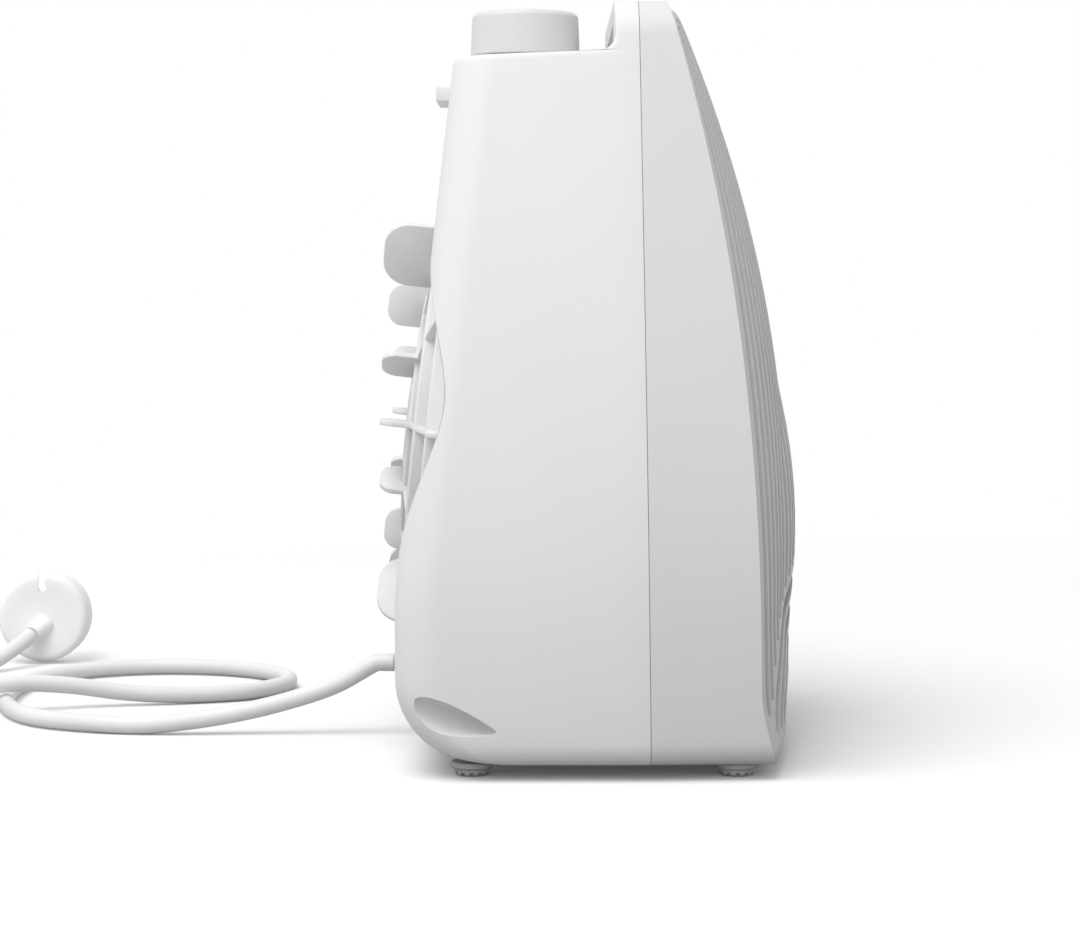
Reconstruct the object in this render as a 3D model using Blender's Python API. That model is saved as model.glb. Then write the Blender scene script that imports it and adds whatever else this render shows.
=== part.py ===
"""Upright fan heater: two-shell casing, ribbed outlet, round inlet, fan, element, knobs and cord."""

import bpy
import bmesh
import math
from mathutils import Matrix, Vector

MM = 0.001
WELD = 0.002 * MM

# Casing, front at -Y, resting on Z = 0
FOOT_HEIGHT = 4.5 * MM
DECK_HEIGHT = 239.6 * MM
HANDLE_RISE = 17.4 * MM
HANDLE_HEIGHT = DECK_HEIGHT + HANDLE_RISE
HALF_WIDTH = 96.0 * MM
DECK_HALF_WIDTH = 72.0 * MM
WIDEST_HEIGHT = 60.0 * MM
WALL = 2.2 * MM
REAR_DEPTH = 48.0 * MM
REAR_TILT = math.radians(6.1)
REAR_CORNER_RADIUS = 15.0 * MM
REAR_FOOT_RADIUS = 28.0 * MM
BASE_EDGE_RADIUS = 7.0 * MM
SHOULDER_RADIUS = 12.0 * MM
DECK_EDGE_RADIUS = 2.0 * MM
DECK_SLOPE = math.radians(2.0)
FRONT_EDGE_DEPTH = 72.6 * MM
FRONT_EDGE_LEAN = 25.4 * MM
FRONT_EDGE_BEND = 2.35
HANDLE_REAR = 24.8 * MM
HANDLE_FILLET = 5.0 * MM
SPLIT_DEPTH = 36.5 * MM
SPLIT_TILT = math.radians(0.85)
SHELL_GAP = 0.3 * MM
GAP = 0.3 * MM

# Grip recess behind the handle bar
GRIP_MARGIN = 26.0 * MM
GRIP_HALF_LENGTH = DECK_HALF_WIDTH - GRIP_MARGIN
GRIP_REAR = 14.4 * MM
GRIP_FRONT = 29.5 * MM
GRIP_SINK = 13.6 * MM
GRIP_ROOF = 7.5 * MM
GRIP_FLOOR = DECK_HEIGHT - GRIP_SINK
GRIP_TOP = HANDLE_HEIGHT - GRIP_ROOF
GRIP_CORNER_RADIUS = 6.0 * MM

# Hollows low on both sides
SCOOP_CENTRE_Y = 30.0 * MM
SCOOP_CENTRE_Z = 16.2 * MM
SCOOP_HALF_LENGTH = 17.0 * MM
SCOOP_HALF_HEIGHT = 6.2 * MM
SCOOP_DEPTH = 9.0 * MM
SCOOP_SLANT = math.radians(-20.0)

# Tab high on the back
TAB_DROP = 14.6 * MM
TAB_HEIGHT = DECK_HEIGHT - TAB_DROP
TAB_HALF_WIDTH = 18.0 * MM
TAB_THICKNESS = 5.4 * MM
TAB_REACH = 5.0 * MM

# Front panel
CROWN = 17.2 * MM
CROWN_FALL = 8.5 * MM
CROWN_HEIGHT = 112.0 * MM
CROWN_SPAN = 125.0 * MM
DOME_RISE = 3.5 * MM
DOME_HEIGHT = 78.0 * MM
DOME_RADIUS = 50.0 * MM
PANEL_THICKNESS = 3.2 * MM
PANEL_RIM = 3.4 * MM
PANEL_EDGE = 2.0 * MM
PANEL_SEAT = PANEL_THICKNESS + GAP
FRAME_STEPS = 5
SEAT_WIDTH = 2.4 * MM
RIB_PITCH = 7.2 * MM
RIB_WIDTH = 2.4 * MM
SLOT_MARGIN = 8.0 * MM
SLOT_COUNT = 2 * int((HALF_WIDTH - SLOT_MARGIN) / RIB_PITCH) + 1
ARCH_CENTRE_HEIGHT = -21.5 * MM
ARCH_RADIUS = 88.0 * MM
ARCH_PITCH = 10.0 * MM
ARCH_WIDTH = 3.0 * MM
ARCH_COUNT = 3
LIP_HEIGHT = 12.0 * MM
BAR_HEIGHT = 2.0 * MM
BAR_DEPTH = 2.4 * MM
BAR_COUNT = 2

# Inlet in the back
INLET_HEIGHT = 114.0 * MM
INLET_RADIUS = 91.2 * MM
INLET_SINK = 12.0 * MM
INLET_HOLE_RADIUS = 64.0 * MM
PAD_HALF_WIDTH = 11.0 * MM
PAD_TOP = 33.0 * MM

# Round grille in the inlet, heights counted outwards from the back's surface
HUB_RISE = 5.2 * MM
RIM_SINK = 4.4 * MM
DOME_BEND = 2.6
RING_RADII = [26.5 * MM, 43.5 * MM, 60.5 * MM]
RIM_RADIUS = 80.0 * MM
RING_WALL = 2.0 * MM
RING_DEPTH = 6.0 * MM
HUB_RADIUS = 9.0 * MM
SPOKE_COUNT = 12
SPOKE_WIDTH = 1.8 * MM
SPOKE_DEPTH = 4.5 * MM
SPACER_PLANE = 55.8 * MM
SPACER_WIDTH = 2.0 * MM
INNER_SPACER = (32.6 * MM, 47.4 * MM)
OUTER_SPACER = (55.0 * MM, 79.0 * MM)

# Feet
FOOT_X = 78.0 * MM
FOOT_REAR_Y = 22.6 * MM
FOOT_FRONT_Y = -65.4 * MM
FOOT_RADIUS = 6.6 * MM
FOOT_PIN_RADIUS = 2.3 * MM
FOOT_NOTCH = 1.3 * MM

# Knobs and what they turn
KNOB_MARGIN = 33.0 * MM
KNOB_X = DECK_HALF_WIDTH - KNOB_MARGIN
KNOB_Y = 5.0 * MM
KNOB_RADIUS = 18.6 * MM
KNOB_RISE = 16.0 * MM
KNOB_TOP = DECK_HEIGHT + KNOB_RISE
KNOB_CLEARANCE = 0.6 * MM
KNOB_WALL = 1.8 * MM
KNOB_ROUND = 1.6 * MM
SPINDLE_RADIUS = 3.0 * MM
SPINDLE_HOLE_RADIUS = 4.3 * MM
SPINDLE_DROP = 26.0 * MM
PLATE_DROP = 11.6 * MM
PLATE_HEIGHT = DECK_HEIGHT - PLATE_DROP
PLATE_THICKNESS = 1.2 * MM
PLATE_MARGIN = 11.0 * MM
PLATE_HALF_LENGTH = DECK_HALF_WIDTH - PLATE_MARGIN
PLATE_FRONT = -9.0 * MM
PLATE_REAR = 21.0 * MM
COLLAR_RADIUS = 5.2 * MM
SWITCH_DEPTH = 13.0 * MM
SWITCH_HALF = 13.0 * MM
POST_RADIUS = 3.6 * MM
POST_INSET = 4.5 * MM
POST_X = PLATE_HALF_LENGTH - POST_INSET

# Fan, duct and motor, all about one line along Y
FAN_HEIGHT = 112.0 * MM
DUCT_RADIUS = 62.0 * MM
DUCT_WALL = 2.0 * MM
DUCT_FRONT = -22.0 * MM
DUCT_REAR = 16.4 * MM
DUCT_FLANGE_RADIUS = 78.0 * MM
DUCT_SCREW_RADIUS = 72.0 * MM
SPIDER_THICKNESS = 4.0 * MM
SPIDER_ARM = 6.0 * MM
SPIDER_HUB_RADIUS = 21.0 * MM
FAN_RADIUS = 57.5 * MM
FAN_HUB_RADIUS = 15.0 * MM
FAN_FRONT = -14.0 * MM
FAN_REAR = 9.0 * MM
BLADE_COUNT = 5
BLADE_THICKNESS = 1.6 * MM
BLADE_PITCH_HUB = math.radians(50)
BLADE_PITCH_TIP = math.radians(24)
BLADE_CHORD_HUB = 17.0 * MM
BLADE_CHORD_TIP = 34.0 * MM
SHAFT_RADIUS = 2.0 * MM
CORE_FRONT = 19.0 * MM
CORE_REAR = 33.0 * MM
CORE_HALF_WIDTH = 26.0 * MM
CORE_TOP = 17.0 * MM
CORE_BOTTOM = 36.0 * MM
CORE_LEG = 9.0 * MM
CORE_LIMB = 9.0 * MM
ROTOR_RADIUS = 12.6 * MM
ROTOR_GAP = 0.5 * MM
BRIDGE_THICKNESS = 2.0 * MM
BRIDGE_HALF_HEIGHT = 8.0 * MM
BEARING_RADIUS = 5.6 * MM
BEARING_LENGTH = 4.2 * MM
COIL_THICKNESS = 4.0 * MM
MOTOR_SCREW_X = 17.0 * MM

# Heating element
HEATER_DEPTH = 16.0 * MM
MICA_THICKNESS = 1.2 * MM
MICA_DEPTH = 7.0 * MM
RIBBON_TURNS = 3.5
RIBBON_INNER = 16.0 * MM
RIBBON_OUTER = 54.0 * MM
RIBBON_WIDTH = 4.0 * MM
RIBBON_THICKNESS = 0.9 * MM
CUTOUT_RADIUS = 8.0 * MM
CUTOUT_DEPTH = 6.0 * MM

# Mains cord and plug
CORD_DIAMETER = 6.5 * MM
CORD_EXIT_HEIGHT = 26.0 * MM
CORD_EXIT_Y = 52.4 * MM
BUSHING_INNER_Y = 30.0 * MM
BUSHING_RADIUS = 5.0 * MM
BUSHING_TIP_RADIUS = 4.0 * MM
BUSHING_FLANGE_RADIUS = 7.4 * MM
COIL_X = 95.0 * MM
COIL_Y = 277.0 * MM
COIL_RADIUS = 41.0 * MM
COIL_PITCH = 7.1 * MM
COIL_LAYER_TURNS = 1.5
COIL_STEPS = 22
PLUG_X = 183.0 * MM
PLUG_Y = 214.0 * MM
PLUG_RADIUS = 20.0 * MM
PLUG_LENGTH = 14.0 * MM
PLUG_NOTCH = 2.6 * MM
PLUG_PIN_RADIUS = 2.4 * MM
PLUG_PIN_LENGTH = 19.0 * MM
PLUG_PIN_SPACING = 19.0 * MM
PLUG_ENTRY = Vector((PLUG_X - PLUG_LENGTH / 2, PLUG_Y + 0.6 * MM, 16.0 * MM))
PLUG_ENTRY_AIM = Vector((0.80, -0.45, 0.40)).normalized()
PLUG_SLEEVE_LENGTH = 7.0 * MM
CORD_REST = CORD_DIAMETER / 2
RUN_POINTS = [
    (0, CORD_EXIT_Y + GAP, CORD_EXIT_HEIGHT),
    (0, CORD_EXIT_Y + CORD_DIAMETER, CORD_EXIT_HEIGHT),
    (0, 0.077, 0.0165),
    (0, 0.108, 0.0078),
    (0, 0.141, CORD_REST),
    (0.005, 0.166, CORD_REST),
    (0.019, 0.188, CORD_REST),
    (0.046, 0.202, CORD_REST),
    (0.080, 0.207, CORD_REST),
    (0.112, 0.203, CORD_REST),
    (0.136, 0.186, CORD_REST),
    (0.147, 0.158, CORD_REST),
    (0.142, 0.128, CORD_REST),
    (0.124, 0.106, CORD_REST),
    (0.101, 0.101, CORD_REST),
    (0.080, 0.113, CORD_REST),
    (0.070, 0.137, CORD_REST),
    (0.065, 0.160, 0.0050),
    (0.058, 0.181, 0.0088),
    (0.049, 0.203, 0.0108),
    (0.043, 0.224, 0.0078),
    (0.045, 0.244, 0.0042),
    (COIL_X - COIL_RADIUS, COIL_Y - 2.2 * CORD_DIAMETER, CORD_REST),
    (COIL_X - COIL_RADIUS, COIL_Y - CORD_DIAMETER - GAP, CORD_REST),
]
LEAD_POINTS = [
    (COIL_X + COIL_RADIUS, COIL_Y - CORD_DIAMETER - GAP, CORD_REST + COIL_PITCH),
    (COIL_X + COIL_RADIUS, COIL_Y - 2.3 * CORD_DIAMETER, CORD_REST + COIL_PITCH),
    (0.1383, 0.2490, 0.0064),
    (0.1430, 0.2380, 0.0034),
    (0.1520, 0.2295, 0.0042),
    (0.1600, 0.2240, 0.0074),
    PLUG_ENTRY - PLUG_ENTRY_AIM * (PLUG_SLEEVE_LENGTH + GAP + CORD_DIAMETER),
    PLUG_ENTRY - PLUG_ENTRY_AIM * (PLUG_SLEEVE_LENGTH + GAP),
]

# Case screws
SCREW_RADIUS = 1.6 * MM
SCREW_HEAD_RADIUS = 3.2 * MM
SCREW_HEAD_HEIGHT = 2.0 * MM
BOSS_RADIUS = 4.6 * MM
SCREW_DROP = 20.6 * MM
SCREW_UPPER_HEIGHT = DECK_HEIGHT - SCREW_DROP
SCREW_LOWER_HEIGHT = 52.0 * MM
SCREW_WELL = 6.0 * MM


def clear_scene():
    """Empty the file of its starting objects."""
    for obj in list(bpy.data.objects):
        bpy.data.objects.remove(obj, do_unlink=True)


def make_material(name, colour, roughness, metallic=0.0):
    """A plain Principled material."""
    material = bpy.data.materials.new(name)
    material.use_nodes = True
    shader = material.node_tree.nodes["Principled BSDF"]
    shader.inputs["Base Color"].default_value = (*colour, 1.0)
    shader.inputs["Roughness"].default_value = roughness
    shader.inputs["Metallic"].default_value = metallic
    return material


def mesh_object(name, bm, material=None):
    """Turn a bmesh into a linked object with its faces pointing out."""
    bmesh.ops.recalc_face_normals(bm, faces=bm.faces)
    mesh = bpy.data.meshes.new(name)
    bm.to_mesh(mesh)
    bm.free()
    obj = bpy.data.objects.new(name, mesh)
    bpy.context.scene.collection.objects.link(obj)
    if material:
        mesh.materials.append(material)
    return obj


def dress(obj, name, material, sharp=35.0):
    """Name a finished piece, give it its material and shade it smooth between its sharp edges."""
    obj.name = name
    obj.data.name = name
    obj.data.materials.clear()
    obj.data.materials.append(material)
    obj.data.shade_smooth()
    obj.data.set_sharp_from_angle(angle=math.radians(sharp))
    return obj


def tidy(mesh):
    """Merge the near-coincident corners that a Boolean leaves, and split its faces into triangles."""
    bm = bmesh.new()
    bm.from_mesh(mesh)
    bmesh.ops.remove_doubles(bm, verts=bm.verts, dist=WELD)
    bmesh.ops.dissolve_degenerate(bm, edges=bm.edges, dist=WELD)
    bmesh.ops.dissolve_limit(bm, angle_limit=math.radians(0.1), verts=bm.verts, edges=bm.edges)
    bmesh.ops.triangulate(bm, faces=bm.faces)
    bm.to_mesh(mesh)
    bm.free()


def combine(base, tools, operation):
    """Cut or join tool objects into base with one exact Boolean, and remove them."""
    group = bpy.data.collections.new("tools")
    bpy.context.scene.collection.children.link(group)
    for tool in tools:
        bpy.context.scene.collection.objects.unlink(tool)
        group.objects.link(tool)
    modifier = base.modifiers.new("shape", "BOOLEAN")
    modifier.operation = operation
    modifier.solver = "EXACT"
    modifier.operand_type = "COLLECTION"
    modifier.collection = group
    bpy.context.view_layer.update()
    graph = bpy.context.evaluated_depsgraph_get()
    shaped = bpy.data.meshes.new_from_object(base.evaluated_get(graph))
    base.modifiers.clear()
    tidy(shaped)
    old = base.data
    base.data = shaped
    bpy.data.meshes.remove(old)
    for tool in tools:
        bpy.data.objects.remove(tool, do_unlink=True)
    bpy.data.collections.remove(group)
    return base


def cut(base, *tools):
    """Take the tools away from base."""
    return combine(base, tools, "DIFFERENCE")


def fuse(base, *tools):
    """Join the tools to base as one solid."""
    return combine(base, tools, "UNION")


def loft(name, sections):
    """Extrude the first outline through the others, which have the same number of corners."""
    bm = bmesh.new()
    foot = [bm.verts.new(point) for point in sections[0]]
    face = bm.faces.new(foot)
    for section in sections[1:]:
        face = bmesh.ops.extrude_discrete_faces(bm, faces=[face])["faces"][0]
        for vert, point in zip(face.verts, section):
            vert.co = Vector(point)
    bm.faces.new(list(reversed(foot)))
    bmesh.ops.triangulate(bm, faces=bm.faces)
    return mesh_object(name, bm)


def outline_prism(name, outline, low, high, axis="Y"):
    """Extrude a closed flat outline between two values along Y or Z."""
    bm = bmesh.new()
    if axis == "Y":
        points = [(a, low, b) for a, b in outline]
        reach = Vector((0, high - low, 0))
    else:
        points = [(a, b, low) for a, b in outline]
        reach = Vector((0, 0, high - low))
    face = bm.faces.new([bm.verts.new(point) for point in points])
    moved = bmesh.ops.extrude_face_region(bm, geom=[face])["geom"]
    verts = [item for item in moved if isinstance(item, bmesh.types.BMVert)]
    bmesh.ops.translate(bm, vec=reach, verts=verts)
    return mesh_object(name, bm)


def block(name, low, high):
    """A box between two corners."""
    bm = bmesh.new()
    bmesh.ops.create_cube(bm, size=1.0)
    size = Vector(high) - Vector(low)
    bmesh.ops.scale(bm, vec=size, verts=bm.verts)
    bmesh.ops.translate(bm, vec=(Vector(low) + Vector(high)) / 2, verts=bm.verts)
    return mesh_object(name, bm)


def turned(name, profile, steps, place=Matrix.Identity(4)):
    """Spin a closed profile of (radius, height) about Z, then place it."""
    bm = bmesh.new()
    verts = [bm.verts.new((radius, 0, height)) for radius, height in profile]
    edges = [bm.edges.new((a, b)) for a, b in zip(verts, verts[1:])]
    if profile[0][0] > 0 and profile[-1][0] > 0:
        edges.append(bm.edges.new((verts[-1], verts[0])))
    bmesh.ops.spin(
        bm, geom=verts + edges, axis=(0, 0, 1), cent=(0, 0, 0), steps=steps, angle=math.tau, use_merge=True
    )
    bmesh.ops.remove_doubles(bm, verts=bm.verts, dist=0.000001)
    bmesh.ops.transform(bm, matrix=place, verts=bm.verts)
    return mesh_object(name, bm)


def rod(name, radius, low, high, steps, place=Matrix.Identity(4)):
    """A plain round bar about Z, then placed."""
    return turned(name, [(0, low), (radius, low), (radius, high), (0, high)], steps, place)


def arc(centre, radius, start, end, steps):
    """Points on a circular arc, in degrees."""
    angles = [math.radians(start + (end - start) * i / steps) for i in range(steps + 1)]
    return [(centre[0] + radius * math.cos(a), centre[1] + radius * math.sin(a)) for a in angles]


def rounded_rectangle(centre, half, radius, steps=4):
    """Outline of a rectangle with round corners."""
    outline = []
    for turn, (sx, sy) in enumerate(((1, 1), (-1, 1), (-1, -1), (1, -1))):
        corner = (centre[0] + sx * (half[0] - radius), centre[1] + sy * (half[1] - radius))
        outline += arc(corner, radius, 90 * turn, 90 * turn + 90, steps)
    return outline


def round_over(distance, radius):
    """How far an edge of this radius draws in, at a distance from where the round ends."""
    near = min(max(radius - distance, 0.0), radius)
    return radius - math.sqrt(radius * radius - near * near)


def taper(z):
    """Half the casing's width at a height, before its edges are rounded."""
    rise = max(z - WIDEST_HEIGHT, 0.0) / (DECK_HEIGHT - WIDEST_HEIGHT)
    drop = max(WIDEST_HEIGHT - z, 0.0) / WIDEST_HEIGHT
    return HALF_WIDTH - (HALF_WIDTH - DECK_HALF_WIDTH) * rise**1.6 - 2.0 * MM * drop**2


def half_width(z, inset=0.0):
    """Half the casing's width at a height, with the wall's inset taken off."""
    width = taper(z) - inset
    width -= round_over(z - FOOT_HEIGHT - inset, BASE_EDGE_RADIUS - inset)
    return width - round_over(HANDLE_HEIGHT - inset - z, SHOULDER_RADIUS - inset)


def front_edge(z):
    """Y of the casing's front side edge at a height."""
    rise = max(z - 15.0 * MM, 0.0) / (DECK_HEIGHT - 15.0 * MM)
    return FRONT_EDGE_LEAN * rise**FRONT_EDGE_BEND - FRONT_EDGE_DEPTH


def rear_wall(z, inset=0.0):
    """Y of the back at a height, drawn in by the large round at its foot."""
    y = REAR_DEPTH - (z - WIDEST_HEIGHT) * math.tan(REAR_TILT) * (z > WIDEST_HEIGHT)
    radius = REAR_FOOT_RADIUS - inset
    return y - inset - round_over(z - FOOT_HEIGHT - inset, radius)


def split_plane(z):
    """Y of the parting line between the shells."""
    return z * math.tan(SPLIT_TILT) - SPLIT_DEPTH


def front_face(x, z):
    """Y of the crowned front panel's face, with the outlet's dome."""
    crown = CROWN - CROWN_FALL * ((z - CROWN_HEIGHT) / CROWN_SPAN) ** 2
    across = min(abs(x) / half_width(z, WALL), 1.0)
    distance = math.hypot(x, z - DOME_HEIGHT) / DOME_RADIUS
    dome = DOME_RISE * max(1.0 - distance * distance, 0.0)
    return front_edge(z) - crown * (1.0 - across * across) - dome


def casing_section(z, front, rear, inset, edge=0.0, corner=REAR_CORNER_RADIUS, steps=4):
    """Outline of the casing at a height, its sides stepping in by edge behind the handle."""
    width = half_width(z, inset)
    handle = -HANDLE_REAR - inset
    near = width - edge
    outline = [(-width, front), (width, front), (width, min(handle, rear - 1.5 * MM - corner))]
    outline += arc((near - corner, rear - corner), corner, 0, 90, steps)
    outline += arc((corner - near, rear - corner), corner, 90, 180, steps)
    outline.append((-width, min(handle, rear - 1.5 * MM - corner)))
    lean = min(max((z - 0.75 * DECK_HEIGHT) / (0.25 * DECK_HEIGHT), 0.0), 1.0)
    fall = [math.tan(DECK_SLOPE) * lean * max(y + HANDLE_REAR, 0.0) for _, y in outline]
    return [(x, y, z - drop) for (x, y), drop in zip(outline, fall)]


def casing_solid(name, inset=0.0, front=None):
    """The casing's outer form, or with an inset its hollow, run forward to front."""
    base, deck, top = FOOT_HEIGHT + inset, DECK_HEIGHT - inset, HANDLE_HEIGHT - inset
    foot = REAR_FOOT_RADIUS - inset
    heights = [base + foot * (1 - math.cos(math.radians(a))) for a in (0, 18, 36, 54, 72, 90)]
    heights += [base + foot + (deck - base - foot) * share for share in (0.3, 0.58, 0.82)]
    sections = []
    for z in heights:
        y = front_edge(z) if front is None else front
        sections.append(casing_section(z, y, rear_wall(z, inset), inset))
    for angle in (0, 30, 60, 90):
        z = deck - DECK_EDGE_RADIUS * (1 - math.sin(math.radians(angle)))
        edge = DECK_EDGE_RADIUS * (1 - math.cos(math.radians(angle)))
        y = front_edge(z) if front is None else front
        rear = rear_wall(z, inset) - edge
        sections.append(casing_section(z, y, rear, inset, edge, REAR_CORNER_RADIUS - edge))
    for angle in (12, 36, 60, 90):
        z = deck + HANDLE_FILLET * (1 - math.cos(math.radians(angle)))
        flare = HANDLE_FILLET * (1 - math.sin(math.radians(angle)))
        y = front_edge(z) if front is None else front
        sections.append(casing_section(z, y, flare - HANDLE_REAR - inset, inset, 0.0, 1.5 * MM))
    shoulder = SHOULDER_RADIUS - inset
    for angle in (0, 34, 60, 82):
        z = top - shoulder * (1 - math.sin(math.radians(angle)))
        y = front_edge(z) if front is None else front
        sections.append(casing_section(z, y, -HANDLE_REAR - inset, inset, 0.0, 1.5 * MM))
    return loft(name, sections)


def split_block(name, ahead):
    """A large block that covers everything ahead of the parting line, or behind it."""
    low, high = -0.1, 0.35
    if ahead:
        reach, shift = -0.3, -SHELL_GAP / 2
    else:
        reach, shift = 0.3, SHELL_GAP / 2
    line = [(split_plane(z) + shift, z) for z in (low, high)]
    corners = [(reach, low)] + line + [(reach, high)]
    return loft(name, [[(x, y, z) for y, z in corners] for x in (-0.3, 0.3)])


def grip_cutter(name, grow=0.0):
    """The hollow that fingers reach into behind the handle bar."""
    half = (GRIP_HALF_LENGTH + grow, (GRIP_FRONT - GRIP_REAR) / 2 + grow)
    outline = rounded_rectangle((0, -(GRIP_REAR + GRIP_FRONT) / 2), half, GRIP_CORNER_RADIUS + grow, 3)
    return outline_prism(name, outline, GRIP_FLOOR - grow, GRIP_TOP + grow, "Z")


def scoop_cutter(name, side, grow=0.0):
    """One side's hollow: a slanting lens, deepest at its front tip."""
    bm = bmesh.new()
    bmesh.ops.create_uvsphere(bm, u_segments=10, v_segments=6, radius=1.0)
    scale = (SCOOP_DEPTH + grow, SCOOP_HALF_LENGTH + grow, SCOOP_HALF_HEIGHT + grow)
    bmesh.ops.scale(bm, vec=scale, verts=bm.verts)
    turn = Matrix.Rotation(-SCOOP_SLANT, 4, "X")
    place = Matrix.Translation((side * half_width(SCOOP_CENTRE_Z), SCOOP_CENTRE_Y, SCOOP_CENTRE_Z))
    bmesh.ops.transform(bm, matrix=place @ turn, verts=bm.verts)
    return mesh_object(name, bm)


def inlet_place(sink=0.0):
    """Frame of the inlet: Z runs out of the back along the wall's normal, Y runs up the wall."""
    centre = Vector((0, rear_wall(INLET_HEIGHT), INLET_HEIGHT))
    turn = Matrix.Rotation(-(math.pi / 2 - REAR_TILT), 4, "X")
    return Matrix.Translation(centre) @ turn @ Matrix.Translation((0, 0, -sink))


def cord_pad(name, grow=0.0):
    """The block low in the inlet that is left standing for the cord to come out of."""
    half = PAD_HALF_WIDTH + grow
    return block(name, (-half, 0.0, -0.02), (half, 0.15, PAD_TOP + grow))


def rear_shell(material):
    """Back shell: deck, grip recess, inlet well, side hollows and the tab on the back."""
    shell = casing_solid("rear_shell")
    combine(shell, [split_block("behind", False)], "INTERSECT")
    cut(shell, grip_cutter("grip"), scoop_cutter("scoop_left", -1), scoop_cutter("scoop_right", 1))
    well = rod("well", INLET_RADIUS, -INLET_SINK, 60 * MM, 32, inlet_place())
    cut(well, cord_pad("pad"))
    cut(shell, well)
    hollow = casing_solid("hollow", WALL, -100 * MM)
    cut(hollow, grip_cutter("grip", WALL))
    cut(hollow, scoop_cutter("scoop_left", -1, WALL), scoop_cutter("scoop_right", 1, WALL))
    cut(hollow, rod("well", INLET_RADIUS + WALL, -INLET_SINK - WALL, 60 * MM, 32, inlet_place()))
    cut(shell, hollow)
    cut(shell, rod("mouth", INLET_HOLE_RADIUS, -INLET_SINK - 20 * MM, 10 * MM, 28, inlet_place()))
    y = rear_wall(TAB_HEIGHT)
    low = (-TAB_HALF_WIDTH, y - 1.5 * MM, TAB_HEIGHT - TAB_THICKNESS / 2)
    high = (TAB_HALF_WIDTH, y + TAB_REACH, TAB_HEIGHT + TAB_THICKNESS / 2)
    fuse(shell, block("tab", low, high))
    return dress(shell, "rear_shell", material)


def frame_heights(inset, steps):
    """Heights up the front frame, close together where its corners are round."""
    base, top = FOOT_HEIGHT + inset, HANDLE_HEIGHT - inset
    edge, shoulder = BASE_EDGE_RADIUS - inset, SHOULDER_RADIUS - inset
    heights = [base + edge * (1 - math.cos(math.radians(a))) for a in (14, 50, 90)]
    low, high = heights[-1], top - shoulder
    heights += [low + (high - low) * i / steps for i in range(1, steps)]
    heights += [top - shoulder * (1 - math.sin(math.radians(a))) for a in (0, 34, 60, 82)]
    return heights


def front_hollow(name, inset, back):
    """Space inside the front shell, from in front of the casing to a depth behind its front edge."""
    sections = []
    for z in frame_heights(inset, FRAME_STEPS):
        width = half_width(z, inset)
        y = back if back is not None else front_edge(z) + PANEL_SEAT
        sections.append([(-width, -0.11, z), (width, -0.11, z), (width, y, z), (-width, y, z)])
    return loft(name, sections)


def front_shell(material):
    """Front shell: an open frame with a ledge that the ribbed panel seats on."""
    shell = casing_solid("front_shell")
    combine(shell, [split_block("ahead", True)], "INTERSECT")
    cut(shell, front_hollow("panel_space", WALL, None))
    cut(shell, front_hollow("inner_space", WALL + SEAT_WIDTH, 0.0))
    return dress(shell, "front_shell", material)


def panel_sections(heights, inset, front_gap, thickness, columns):
    """Crowned outlines of the front panel at the given heights."""
    sections = []
    for z in heights:
        width = half_width(z, inset)
        xs = [width * (2 * i / columns - 1) for i in range(columns + 1)]
        face = [(x, front_face(x, z) + front_gap, z) for x in xs]
        back = [(x, front_face(x, z) + front_gap + thickness, z) for x in reversed(xs)]
        sections.append(face + back)
    return sections


def slot_top(share, rim):
    """Height at which a rib's line, at a share of the tapering width, meets the panel's rim."""
    low, high = WIDEST_HEIGHT, HANDLE_HEIGHT - WALL - rim
    while high - low > 0.05 * MM:
        middle = (low + high) / 2
        if half_width(middle, WALL + GAP + rim) > share * taper(middle):
            low = middle
        else:
            high = middle
    return low


def vertical_slots():
    """Outlines of the slots between the upright ribs, which lean in with the casing's sides."""
    reach = ARCH_RADIUS + ARCH_WIDTH / 2
    outlines = []
    for i in range(SLOT_COUNT):
        middle = (i - (SLOT_COUNT - 1) / 2) * RIB_PITCH / taper(WIDEST_HEIGHT)
        half = (RIB_PITCH - RIB_WIDTH) / 2 / taper(WIDEST_HEIGHT)
        near = max(abs(middle) - half, 0.0) * taper(WIDEST_HEIGHT)
        low = ARCH_CENTRE_HEIGHT + math.sqrt(max(reach * reach - near * near, 0.0))
        low = max(low, LIP_HEIGHT + 12 * MM)
        high = slot_top(abs(middle) + half, PANEL_RIM)
        heights = [low + (high - low) * share for share in (0.0, 0.5, 1.0)]
        left = [((middle - half) * taper(z), z) for z in heights]
        right = [((middle + half) * taper(z), z) for z in reversed(heights)]
        outlines.append(left + right)
    return outlines


def arch_slots():
    """Outlines of the curved slots between the arched ribs under the vertical ones."""
    outlines = []
    for i in range(ARCH_COUNT):
        outer = ARCH_RADIUS - ARCH_WIDTH / 2 - i * ARCH_PITCH
        inner = outer - (ARCH_PITCH - ARCH_WIDTH)
        foot = math.asin((LIP_HEIGHT + 3 * MM - ARCH_CENTRE_HEIGHT) / inner)
        start, end = math.degrees(foot), 180 - math.degrees(foot)
        centre = (0, ARCH_CENTRE_HEIGHT)
        outlines.append(arc(centre, outer, start, end, 8) + arc(centre, inner, end, start, 8))
    return outlines


def edge_wall(name, low, high):
    """The panel's floor or roof: from just inside its crowned face back to the casing's edge."""
    inset = WALL + GAP + 0.6 * MM
    sections = []
    for z in (low, high):
        width = half_width(z, inset)
        xs = [width * (i / 3 - 1) for i in range(7)]
        face = [(x, front_face(x, z) + 0.8 * MM, z) for x in xs]
        back = front_edge(z) + PANEL_THICKNESS
        sections.append(face + [(width, back, z), (-width, back, z)])
    return loft(name, sections)


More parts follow.
